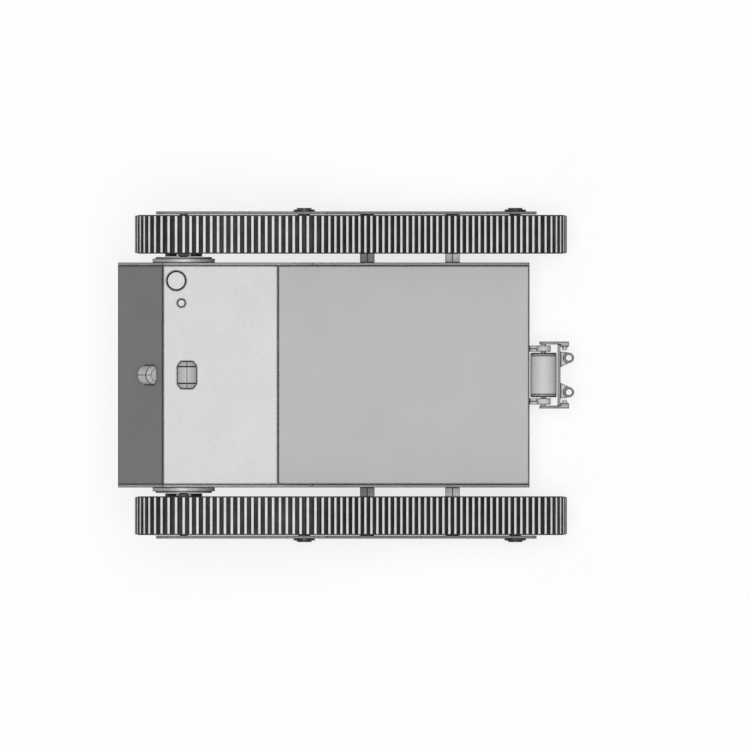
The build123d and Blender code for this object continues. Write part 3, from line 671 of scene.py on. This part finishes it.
class Paintshop:
    """Holds the finishes, dresses pieces in them and puts the pieces on their bodies."""

    def __init__(self, frame: dict) -> None:
        """Builds every finish.
        """
        self.frame = frame
        bodies = frame["record"]["behaviour"]["bodies"]
        self.bodies = {node: body for body, nodes in bodies.items() for node in nodes}
        effects = EffectGroups()
        self.materials = {finish.name: finish.build(effects) for finish in FINISHES}

    def ringed(self, name: str, base: str, centre: Vector) -> None:
        """Adds a finish whose turning rings run round another centre."""
        material = self.materials[base].copy()
        material.name = name
        mapping = next(n for n in material.node_tree.nodes if n.bl_idname == "ShaderNodeMapping")
        mapping.inputs["Location"].default_value = tuple(-c for c in centre)
        self.materials[name] = material

    def dress(self, piece: bpy.types.Object, *finishes: str) -> None:
        """Gives a piece its material slots."""
        piece.data.materials.clear()
        for finish in finishes:
            piece.data.materials.append(self.materials[finish])

    def place(self, piece: bpy.types.Object, slot: str, nodes: Sequence[str] = (), body: str = "") -> None:
        """Puts a finished piece on its body.

        Args:
            piece: the piece.
            slot: the record's material slot; not used.
            nodes: the CAD nodes that it stands for.
            body: its body, when it stands for no node.
        """
        if nodes:
            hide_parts(*nodes)
            body = body or self.bodies[nodes[0]]
        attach(piece, body)
        LOG.info("piece %s: %d faces on %s", piece.name, len(piece.data.polygons), body)

    def keep(self, finish: str, *nodes: str) -> None:
        """Gives CAD nodes that stay their material."""
        for node in nodes:
            shown = self.frame["nodes"][node]
            for index in range(len(shown.data.materials)):
                shown.data.materials[index] = self.materials[finish]
            if not shown.data.materials:
                shown.data.materials.append(self.materials[finish])
            LOG.info("node %s keeps its shape in %s", node, finish)

    def merged(self, node: str, name: str = "") -> bpy.types.Object:
        """Copies a CAD node's mesh into a new piece with its loose triangles made whole faces.

        Args:
            node: the CAD node.
            name: the new piece's name.

        Returns:
            The new piece.
        """
        piece = bpy.data.objects.new(name or f"{node}_skin", self.frame["nodes"][node].data.copy())
        piece.data.name = piece.name
        bpy.context.scene.collection.objects.link(piece)
        select_only(piece)
        bpy.ops.object.mode_set(mode="EDIT")
        bpy.ops.mesh.select_all(action="SELECT")
        bpy.ops.mesh.remove_doubles(threshold=1e-6)
        bpy.ops.mesh.dissolve_limited(angle_limit=math.radians(0.6))
        bpy.ops.object.mode_set(mode="OBJECT")
        return piece

    def eased(self, node: str, slot: str, finish: str, width: float, edge: str = "", segments: int = 1) -> None:
        """Stands a piece with eased edges in a CAD node's place.

        Args:
            node: the CAD node.
            slot: the record's material slot.
            finish: the finish of its faces.
            width: width of the eased edges.
            edge: the finish of the eased edges, where it differs.
            segments: steps of the eased edges.
        """
        piece = self.merged(node)
        self.dress(piece, finish, *([edge] if edge else []))
        chamfered(piece, width, segments, 1 if edge else -1)
        smoothed(piece)
        self.place(piece, slot, (node,))


# ---------------------------------------------------------------- sub-assemblies
@dataclass
class Hull:
    """Folded hull: three painted top panels, side plates in two halves, nose, tail and belly; the rear deck and front
    panel are in darker greys that are painted shade for their slopes.
    """

    shop: Paintshop
    edge: float = 0.4 * MM
    screw_radius: float = 2.6 * MM
    screw_pitch: float = 38.0 * MM
    screw_inset: float = 7.0 * MM

    def build(self) -> None:
        """Makes every panel and the flush screws along the side plates."""
        for node, finish in (
            # the rear deck and front panel take greys darkened as painted shade for their slopes
            ("top_panel", "paint_light"), ("rear_deck", "deck_paint_painted_shade"), ("front_panel", "front_paint_painted_shade"),
            ("nose_panel", "paint_light"), ("tail_plate", "paint_light"), ("belly_plate", "paint_light"),
            ("side_plates_front", "paint_light"), ("side_plates_rear", "paint_light"),
        ):
            self.shop.eased(node, "hull_metal", finish, self.edge, "cut_edge_and_shadow_line")
        self.shop.keep("paint_light", "bulkhead", "corner_rails")
        self.side_screws()

    def side_screws(self) -> None:
        """Sets flush socket screws into the side plates, over the corner rails."""
        front, rear = Box("side_plates_front"), Box("side_plates_rear")
        belly, roof = Box("belly_plate"), Box("top_panel")
        places = []
        for side in (-1, 1):
            face = rear.high.y if side > 0 else rear.low.y
            for height, start, stop in (
                (front.low.z + self.screw_inset, belly.low.x + 12 * MM, rear.high.x - 12 * MM),
                (roof.high.z - self.screw_inset, roof.low.x + 75 * MM, roof.high.x - 6 * MM),
            ):
                count = max(2, round((stop - start) / self.screw_pitch) + 1)
                for index in range(count):
                    x = start + (stop - start) * index / (count - 1)
                    places.append(turned(Vector((0, side, 0)), Vector((x, face - side * 0.05 * MM, height))))
        head = socket_screw("side_plate_screws", self.screw_radius, 1.2 * MM, 1.3 * MM)
        piece = repeated(head, "side_plate_screws", places)
        self.shop.dress(piece, "black_oxide")
        self.shop.place(piece, "steel", body=CHASSIS)


@dataclass
class RoofFittings:
    """Push button, indicator lens and the two capsule lamps."""

    shop: Paintshop
    seam: float = 0.35 * MM
    groove: float = 0.25 * MM

    def build(self) -> None:
        """Makes the button, the lens and the lamps."""
        self.button()
        self.lens()
        self.lamps()
        self.shop.keep("fitting_dark", "button_switch", "lamp_cradles")
        self.shop.keep("board_laminate", "lamp_light_bars")

    def button(self) -> None:
        """Turns the push button, with a dished top and a rolled rim."""
        box = Box("power_button")
        radius = box.size.x / 2
        top = box.high.z
        dish = 0.35 * MM
        profile = [(0, box.low.z), (radius, box.low.z), (radius, top - 0.7 * MM), (radius - 0.35 * MM, top - 0.15 * MM),
                   (radius - 0.9 * MM, top), (radius - 1.5 * MM, top - 0.12 * MM)]
        profile += [(radius * share, top - dish * (1 - 0.5 * share)) for share in (0.7, 0.4, 0.15)]
        profile.append((0, top - dish))
        piece = lathe("power_button_cap", profile, Matrix.Translation((box.middle.x, box.middle.y, 0)), 72)
        self.rimmed(piece, radius - 0.95 * MM)
        self.shop.place(piece, "fitting_plastic", ("power_button",))

    def rimmed(self, piece: bpy.types.Object, inner: float) -> None:
        """Colours a round piece's rim, outside an inner radius, as a shadow line."""
        # the second, near-black slot is a painted shadow line round the rim
        self.shop.dress(piece, "fitting_light", "cut_edge_and_shadow_line")
        box_x = [v.co.x for v in piece.data.vertices]
        box_y = [v.co.y for v in piece.data.vertices]
        centre = Vector(((min(box_x) + max(box_x)) / 2, (min(box_y) + max(box_y)) / 2))
        for face in piece.data.polygons:
            if (face.center.xy - centre).length > inner:
                face.material_index = 1

    def lens(self) -> None:
        """Turns the indicator lens, a low dome with a flange under the roof."""
        box = Box("status_lens")
        roof = Box("top_panel").high.z
        under = roof - 3 * MM
        radius = 4.0 * MM
        flange = box.size.x / 2
        profile = [(0, box.low.z), (flange, box.low.z), (flange, under), (radius, under), (radius, roof + 0.1 * MM),
                   (radius - 0.55 * MM, roof + 0.3 * MM), (radius - 0.9 * MM, roof + 0.4 * MM),
                   (radius * 0.5, roof + 0.53 * MM), (0, box.high.z)]
        piece = lathe("status_lens_dome", profile, Matrix.Translation((box.middle.x, box.middle.y, 0)), 48)
        self.rimmed(piece, radius - 1.15 * MM)
        self.shop.place(piece, "lens", ("status_lens",))

    def capsule(self, name: str, matrix: Matrix, radius: float, length: float) -> bpy.types.Object:
        """Turns one capsule lamp: a closed tube with coned ends, end rings and a mould seam.

        Args:
            name: the piece's name.
            matrix: lays its axis.
            radius: its radius.
            length: its length.

        Returns:
            The lamp, with its dark lines in the second slot.
        """
        half = length / 2
        cone = 4.5 * MM
        tip = radius - 3.4 * MM
        g, s = self.groove, self.seam
        profile = [(0, -half), (tip - s, -half), (tip, -half + s)]
        profile += [(radius - s * 0.7, -half + cone - s), (radius - g, -half + cone), (radius - g, -half + cone + 2 * s),
                    (radius, -half + cone + 3 * s)]
        profile += [(r, -z) for r, z in reversed(profile)]
        piece = lathe(name, profile, Matrix(), 64)
        self.shop.dress(piece, "lamp_shell", "cut_edge_and_shadow_line")
        for face in piece.data.polygons:
            middle = face.center
            away = abs(middle.z)
            if half - cone - 3 * s < away < half - cone + s or away > half - s and middle.xy.length > tip - 1.2 * s:
                face.material_index = 1
        piece.matrix_world = matrix
        seat(piece)
        smoothed(piece)
        return piece

    def lamps(self) -> None:
        """Makes both capsule lamps, one across the roof and one along the front slope."""
        covers = Box("lamp_covers")
        roof, front = Box("top_panel"), Box("front_panel")
        radius, length = 9.2 * MM, 26.4 * MM
        slope = math.radians(60)
        top_centre = Vector((covers.high.x - radius, 0, covers.high.z - radius))
        along = Vector((math.cos(slope), 0, math.sin(slope)))
        glacis_foot = Vector((front.low.x, 0, roof.high.z - (roof.low.x - front.low.x) * math.tan(slope)))
        front_centre = glacis_foot + along * 63.0 * MM
        top = self.capsule("roof_lamp", turned(Vector((0, 1, 0)), top_centre), radius, length)
        low = self.capsule("front_lamp", turned(along, front_centre), radius, length)
        for lamp, axis, centre, up in (
            (top, Vector((0, 1, 0)), top_centre, Vector((0, 0, 1))),
            (low, along, front_centre, Vector((-along.z, 0, along.x))),
        ):
            self.seamed(lamp, axis, centre, up, radius)
        piece = joined("capsule_lamps", top, low)
        self.shop.place(piece, "fitting_plastic", ("lamp_covers",))

    def seamed(self, lamp: bpy.types.Object, axis: Vector, centre: Vector, up: Vector, radius: float) -> None:
        """Cuts a fine mould seam along the lamp's crest.

        Args:
            lamp: the lamp.
            axis: its axis.
            centre: its middle.
            up: the way its crest faces.
            radius: its radius.
        """
        across = axis.cross(up)
        deselect()
        bpy.ops.object.select_all(action="DESELECT")
        select_only(lamp)
        for shift in (-self.seam, self.seam):
            bpy.ops.object.mode_set(mode="EDIT")
            bpy.ops.mesh.select_all(action="SELECT")
            bpy.ops.mesh.bisect(plane_co=centre + across * shift, plane_no=across)
            bpy.ops.object.mode_set(mode="OBJECT")
        for face in lamp.data.polygons:
            from_axis = face.center - centre
            if abs(from_axis.dot(across)) < self.seam and from_axis.dot(up) > radius * 0.5:
                face.material_index = 1


@dataclass
class TrackPod:
    """One rubber track: a band with cross ribs outside and drive lugs inside."""

    shop: Paintshop
    side: str
    band: float = 3.0 * MM
    rib_height: float = 3.5 * MM
    rib_top: float = 2.8 * MM
    rib_foot: float = 4.0 * MM
    rib_count: int = 150
    lug_height: float = 5.0 * MM
    lug_length: float = 5.0 * MM
    lug_tip: float = 2.6 * MM
    lug_width: float = 10.0 * MM
    clearance: float = 0.3 * MM
    circles: list[tuple[float, float, float]] = field(init=False)

    def __post_init__(self) -> None:
        """Reads the four wheels that the track runs round, clockwise from the sprocket."""
        self.circles = []
        for wheel in ("sprocket", "upper_idler", "rear_idler", "lower_idler"):
            box = Box(f"{wheel}_{self.side}")
            reach = box.size.z / 2 + self.clearance + self.band / 2
            self.circles.append((box.middle.x, box.middle.z, reach))

    def stretches(self) -> list[tuple]:
        """Arc and straight run for each wheel: its circle, headings and lengths."""
        found = []
        for index, (x, z, r) in enumerate(self.circles):
            bx, bz, br = self.circles[index - 1]
            ax, az, ar = self.circles[(index + 1) % len(self.circles)]
            heading_in = math.atan2(z - bz, x - bx) - math.asin((br - r) / math.hypot(x - bx, z - bz))
            heading_out = math.atan2(az - z, ax - x) - math.asin((r - ar) / math.hypot(ax - x, az - z))
            turn = (heading_in - heading_out) % (2 * math.pi)
            run = math.sqrt((ax - x) ** 2 + (az - z) ** 2 - (r - ar) ** 2)
            found.append((x, z, r, heading_in, heading_out, r * turn, run))
        return found

    def frames(self, count: int) -> list[tuple[Vector, float]]:
        """Evenly spaced places on the track's middle line.

        Args:
            count: how many places.

        Returns:
            Each place in the XZ plane and the track's heading there.
        """
        stretches = self.stretches()
        total = sum(arc + run for *_, arc, run in stretches)
        found = []
        for index in range(count):
            left = (index * total / count + stretches[0][5]) % total
            for x, z, r, heading_in, heading_out, arc, run in stretches:
                if left <= arc:
                    heading = heading_in - left / r
                    spot = Vector((x - r * math.sin(heading), 0, z + r * math.cos(heading)))
                    break
                left -= arc
                if left <= run:
                    heading = heading_out
                    spot = Vector((x - r * math.sin(heading) + left * math.cos(heading), 0,
                                   z + r * math.cos(heading) + left * math.sin(heading)))
                    break
                left -= run
            found.append((spot, heading))
        return found

    def bar(self, name: str, foot: float, top: float, width: float, low: float, high: float, ease: float) -> bpy.types.Object:
        """Models one tapered bar across the track, its foot at low and its top at high.

        Args:
            name: the bar's name.
            foot: its length along the track at the foot.
            top: its length along the track at the top.
            width: its width across the track.
            low: height of its foot over the middle line.
            high: height of its top over the middle line.
            ease: width of its eased edges.

        Returns:
            The bar, with its top in the second slot.
        """
        deselect()
        bpy.ops.mesh.primitive_cube_add(size=1, location=(0, 0, (low + high) / 2))
        bar = bpy.context.object
        bar.name = name
        bar.scale = (foot, width, abs(high - low))
        seat(bar)
        bpy.ops.object.mode_set(mode="EDIT")
        way = 1 if high > low else -1
        pick(bar, lambda face: face.normal.z * way > 0.9)
        bpy.ops.transform.resize(value=(top / foot, 1 - 8 * ease / width, 1))
        bpy.ops.object.mode_set(mode="OBJECT")
        for slot in ("tread_black", "tread_scuffed"):
            bar.data.materials.append(self.shop.materials[slot])
        chamfered(bar, ease, 1, 0)
        if way > 0:
            for face in bar.data.polygons:
                face.material_index = 1 if face.normal.z > 0.99 else 0
        return bar

    def build(self) -> None:
        """Makes the band, its ribs and its lugs, and joins them."""
        box = Box(f"track_{self.side}")
        width = box.size.y
        middle = box.middle.y
        deselect()
        points = self.frames(self.rib_count * 2)
        bpy.ops.mesh.primitive_circle_add(vertices=len(points), radius=1)
        band = bpy.context.object
        for vertex, (spot, heading) in zip(band.data.vertices, points):
            outward = Vector((-math.sin(heading), 0, math.cos(heading)))
            vertex.co = spot - outward * self.band / 2 + Vector((0, middle - width / 2, 0))
        bpy.ops.object.mode_set(mode="EDIT")
        bpy.ops.mesh.select_all(action="SELECT")
        bpy.ops.mesh.extrude_region_move(TRANSFORM_OT_translate={"value": (0, width, 0)})
        bpy.ops.mesh.select_all(action="SELECT")
        bpy.ops.mesh.normals_make_consistent(inside=False)
        bpy.ops.object.mode_set(mode="OBJECT")
        centre = sum((face.center for face in band.data.polygons), Vector()) / len(band.data.polygons)
        first = band.data.polygons[0]
        if first.normal.dot(first.center - centre) < 0:
            band.data.flip_normals()
        wall = band.modifiers.new("wall", "SOLIDIFY")
        wall.thickness = self.band
        wall.offset = 1
        select_only(band)
        bpy.ops.object.modifier_apply(modifier=wall.name)
        for slot in ("tread_black", "tread_scuffed"):
            band.data.materials.append(self.shop.materials[slot])
        chamfered(band, 0.4 * MM, 1, 0, 60)

        def laid(spots: list[tuple[Vector, float]]) -> list[Matrix]:
            """Matrices that lay a bar's X along the track and its Z outwards."""
            return [
                Matrix.Translation(spot + Vector((0, middle, 0))) @ Matrix.Rotation(-heading, 4, "Y")
                for spot, heading in spots
            ]

        rib = self.bar("rib", self.rib_foot, self.rib_top, width - 0.2 * MM, self.band / 2 - 0.4 * MM,
                       self.band / 2 + self.rib_height, 0.22 * MM)
        ribs = repeated(rib, "ribs", laid(self.frames(self.rib_count)))
        lug = self.bar("lug", self.lug_length, self.lug_tip, self.lug_width, -self.band / 2 + 0.5 * MM,
                       -self.band / 2 - self.lug_height, 0.3 * MM)
        lugs = repeated(lug, "lugs", laid(self.frames(self.rib_count // 2)))
        piece = joined(f"track_belt_{self.side}", band, ribs, lugs)
        smoothed(piece, 25)
        self.shop.place(piece, "track_rubber", (f"track_{self.side}",))


@dataclass
class RunningGear:
    """Wheels, frame plates, caps, bars and their fasteners."""

    shop: Paintshop

    def build(self) -> None:
        """Makes everything that carries the tracks."""
        for side in ("left", "right"):
            for wheel in ("upper_idler", "lower_idler", "rear_idler", "sprocket"):
                self.shop.eased(f"{wheel}_{side}", "wheel_plastic", "wheel_grey", 0.5 * MM, segments=2)
            for place in ("front", "rear"):
                self.shop.eased(f"road_wheel_{side}_{place}", "wheel_plastic", "wheel_grey", 0.5 * MM, segments=2)
        for node in ("outer_plates_front", "outer_plates_rear", "inner_plates"):
            self.shop.eased(node, "frame_metal", "paint_frame", 0.4 * MM, "cut_edge_and_shadow_line")
        # the bars and spacers take a near-white tone that is painted light against the shade between hull and plates
        self.shop.eased("hex_standoffs", "frame_metal", "bar_metal_painted_light", 0.4 * MM, "cut_edge_and_shadow_line")
        self.shop.eased("frame_spacers", "frame_metal", "bar_metal_painted_light", 0.3 * MM)
        self.shop.eased("tie_bolts", "steel", "bright_steel", 0.3 * MM)
        self.shop.eased("wheel_axles", "steel", "bright_steel", 0.3 * MM)
        self.shop.eased("wheel_bushes", "bronze", "bearing_bronze", 0.2 * MM)
        self.caps()

    def caps(self) -> None:
        """Turns the stepped hub caps, each with a socket in its middle."""
        caps = Box("hub_caps")
        plates = Box("outer_plates_rear")
        base, step = 2.0 * MM, 1.5 * MM
        low, high, key = 10.75 * MM, 7.4 * MM, 3.2 * MM
        ease = 0.45 * MM
        profile = [(0, 0), (low, 0), (low, base - ease), (low - ease, base), (high, base), (high, base + step - ease),
                   (high - ease, base + step), (key, base + step), (key, base + 0.4 * step), (0, base + 0.4 * step)]
        places = []
        for side, face in (("left", plates.low.y), ("right", plates.high.y)):
            for wheel in ("upper_idler", "lower_idler", "rear_idler"):
                middle = Box(f"{wheel}_{side}").middle
                way = 1 if side == "right" else -1
                places.append(turned(Vector((0, way, 0)), Vector((middle.x, face, middle.z))))
        cap = lathe("hub_cap", profile, Matrix(), 48)
        self.shop.dress(cap, "black_oxide", "cut_edge_and_shadow_line")
        piece = repeated(cap, "hub_caps_turned", places)
        smoothed(piece)
        LOG.info("caps reach %.4f of %.4f", max(v.co.y for v in piece.data.vertices), caps.high.y)
        self.shop.place(piece, "black_metal", ("hub_caps",))


@dataclass
class Drive:
    """Motor flanges, sprocket hubs, their screws, shafts and the motors inside."""

    shop: Paintshop

    def build(self) -> None:
        """Makes both drives."""
        centre = Box("sprocket_left").middle
        self.shop.ringed("flange_turned", "turned_flange", Vector((centre.x, 0, centre.z)))
        self.shop.eased("motor_flanges", "steel", "flange_turned", 0.35 * MM, "cut_edge_and_shadow_line")
        for side in ("left", "right"):
            self.shop.eased(f"drive_hub_{side}", "hub_metal", "black_oxide", 0.4 * MM)
            self.shop.eased(f"hub_screws_{side}", "steel", "bright_steel", 0.15 * MM)
            self.shop.eased(f"drive_shaft_{side}", "steel", "bright_steel", 0.4 * MM)
        self.flange_screws()
        self.shop.keep("black_oxide", "gearmotors")

    def flange_screws(self) -> None:
        """Sets socket screws in each flange, over the CAD screws."""
        box = Box("flange_screws")
        centre = Box("sprocket_left").middle
        circle, count = 23.4 * MM, 6
        places = []
        for way in (-1, 1):
            face = box.high.y if way > 0 else box.low.y
            for index in range(count):
                angle = 2 * math.pi * (index + 0.5) / count
                spot = Vector((centre.x + circle * math.cos(angle), face, centre.z + circle * math.sin(angle)))
                places.append(turned(Vector((0, way, 0)), spot))
        head = socket_screw("flange_screw", 2.8 * MM, 1.4 * MM, 1.5 * MM)
        piece = repeated(head, "flange_screw_heads", places)
        self.shop.dress(piece, "bright_steel")
        self.shop.place(piece, "steel", ("flange_screws",))


@dataclass
class Hitch:
    """Tilting tow yoke: its motor, ears, arms, eyes and pins."""

    shop: Paintshop

    def build(self) -> None:
        """Makes the hitch."""
        self.motor()
        self.shop.eased("hitch_ears", "hitch_metal", "hitch_metal_light", 0.45 * MM, "cut_edge_and_shadow_line")
        self.shop.eased("tilt_yoke", "hitch_metal", "hitch_metal_mid", 0.45 * MM, "cut_edge_and_shadow_line")
        self.shop.eased("tow_eyes", "hitch_metal", "hitch_metal_light", 0.4 * MM, "cut_edge_and_shadow_line")
        self.shop.eased("yoke_screws", "steel", "bright_steel", 0.25 * MM, "cut_edge_and_shadow_line")
        self.shop.eased("tilt_shaft", "steel", "bright_steel", 0.3 * MM)
        for side in ("left", "right"):
            self.pin(side)

    def motor(self) -> None:
        """Turns the tilt motor: a round can with ringed ends."""
        box = Box("tilt_motor")
        radius, half = box.size.z / 2, box.size.y / 2
        lip, ring = 1.0 * MM, 2.2 * MM
        profile = [(0, -half), (radius - lip, -half), (radius, -half + lip), (radius, -half + ring),
                   (radius - 0.3 * MM, -half + ring + 0.3 * MM), (radius - 0.3 * MM, -half + ring + 0.8 * MM),
                   (radius, -half + ring + 1.1 * MM)]
        profile += [(r, -z) for r, z in reversed(profile)]
        piece = lathe("tilt_motor_can", profile, turned(Vector((0, 1, 0)), box.middle), 72)
        self.shop.dress(piece, "hitch_metal_light", "cut_edge_and_shadow_line")
        for face in piece.data.polygons:
            away = abs(face.center.y - box.middle.y)
            if abs(away - (half - lip / 2)) < lip / 2:
                face.material_index = 1
        self.shop.place(piece, "hitch_metal", ("tilt_motor",))

    def pin(self, side: str) -> None:
        """Turns one tow pin, with a rounded head and a pointed free end."""
        box = Box(f"tow_pin_{side}")
        top = box.high.z - box.middle.z
        head, shank, tip = 3.4 * MM, 2.6 * MM, 2.4 * MM
        step = 2.5 * MM
        foot = -top
        shoulder = foot + 9.5 * MM
        profile = [(0, foot), (tip - 0.6 * MM, foot), (tip, foot + 0.6 * MM), (tip, shoulder), (shank, shoulder),
                   (shank, top - step), (head, top - step), (head, top - 0.5 * MM), (head - 0.5 * MM, top),
                   (1.2 * MM, top), (1.0 * MM, top - 0.3 * MM), (0, top - 0.3 * MM)]
        piece = lathe(f"tow_pin_{side}_turned", profile, Matrix.Translation(box.middle), 40)
        self.shop.dress(piece, "bright_steel", "cut_edge_and_shadow_line")
        for face in piece.data.polygons:
            if face.center.z > box.high.z - 0.45 * MM and (face.center - box.middle).xy.length > head - 0.5 * MM:
                face.material_index = 1
        self.shop.place(piece, "steel", (f"tow_pin_{side}",))


@dataclass
class Electronics:
    """Battery and boards inside the hull."""

    shop: Paintshop

    def build(self) -> None:
        """Dresses what is inside the hull."""
        self.shop.keep("cell_sleeve", "battery_cells")
        self.shop.keep("case_black", "battery_case")
        self.shop.keep("board_laminate", "circuit_boards")
        self.shop.keep("bright_steel", "board_standoffs")


@dataclass
class Studio:
    """Pale floor, soft light from above and the camera."""

    view_width: float = 750 * MM
    view_x: float = 28.9 * MM
    camera_height: float = 1.4
    sun: float = 2.45
    ambient: float = 0.22
    shadow_share: float = 0.22

    def build(self) -> None:
        """Makes the floor, the lights and the camera."""
        self.floor()
        self.lights()
        self.camera()

    def backdrop_share(self, graph: Graph, share: float) -> bpy.types.NodeSocket:
        """Share of plain white that camera, glossy and transmission rays see."""
        path = graph.add("ShaderNodeLightPath")
        seen = graph.maths("MAXIMUM", path.outputs["Is Camera Ray"], path.outputs["Is Glossy Ray"])
        seen = graph.maths("MAXIMUM", seen, path.outputs["Is Transmission Ray"])
        return graph.maths("MULTIPLY", seen, share)

    def floor(self) -> None:
        """Lays a plain floor that shows white but keeps a faint shadow."""
        deselect()
        bpy.ops.mesh.primitive_plane_add(size=12, location=(0, 0, 0))
        floor = bpy.context.object
        floor.name = "studio_floor"
        material = bpy.data.materials.new("studio_floor")
        material.use_nodes = True
        graph = Graph(material.node_tree)
        matt = graph.add("ShaderNodeBsdfDiffuse", Color=(0.93, 0.93, 0.93, 1))
        white = graph.add("ShaderNodeEmission", Color=(1, 1, 1, 1))
        mix = graph.add("ShaderNodeMixShader")
        end = graph.add("ShaderNodeOutputMaterial")
        graph.join(self.backdrop_share(graph, 1 - self.shadow_share), mix.inputs[0])
        graph.join(matt.outputs[0], mix.inputs[1])
        graph.join(white.outputs[0], mix.inputs[2])
        graph.join(mix.outputs[0], end.inputs["Surface"])
        floor.data.materials.append(material)

    def lights(self) -> None:
        """Sets a wide soft sun overhead and an even white world."""
        lamp = bpy.data.lights.new("overhead_softbox", "SUN")
        lamp.energy = self.sun
        lamp.angle = math.radians(35)
        light = bpy.data.objects.new("overhead_softbox", lamp)
        bpy.context.scene.collection.objects.link(light)
        world = bpy.data.worlds.new("studio_world")
        bpy.context.scene.world = world
        world.use_nodes = True
        graph = Graph(world.node_tree)
        dim = graph.add("ShaderNodeBackground", Color=(1, 1, 1, 1), Strength=self.ambient)
        white = graph.add("ShaderNodeBackground", Color=(1, 1, 1, 1), Strength=1.0)
        mix = graph.add("ShaderNodeMixShader")
        end = graph.add("ShaderNodeOutputWorld")
        path = graph.add("ShaderNodeLightPath")
        graph.join(path.outputs["Is Camera Ray"], mix.inputs[0])
        graph.join(dim.outputs[0], mix.inputs[1])
        graph.join(white.outputs[0], mix.inputs[2])
        graph.join(mix.outputs[0], end.inputs["Surface"])

    def camera(self) -> None:
        """Hangs a parallel camera straight above, the tail to the right."""
        lens = bpy.data.cameras.new("top_camera")
        lens.type = "ORTHO"
        lens.ortho_scale = self.view_width
        camera = bpy.data.objects.new("top_camera", lens)
        camera.location = (self.view_x, 0, self.camera_height)
        bpy.context.scene.collection.objects.link(camera)
        bpy.context.scene.camera = camera
        bpy.context.scene.view_settings.view_transform = "Standard"


def main() -> None:
    """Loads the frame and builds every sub-assembly."""
    logging.basicConfig(level=logging.INFO, format="%(name)s: %(message)s")
    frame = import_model()
    shop = Paintshop(frame)
    deselect()
    parts = [Hull(shop), RoofFittings(shop), TrackPod(shop, "left"), TrackPod(shop, "right"), RunningGear(shop),
             Drive(shop), Hitch(shop), Electronics(shop), Studio()]
    for part in parts:
        LOG.info("building %s", type(part).__name__)
        part.build()


if __name__ == "__main__":
    main()
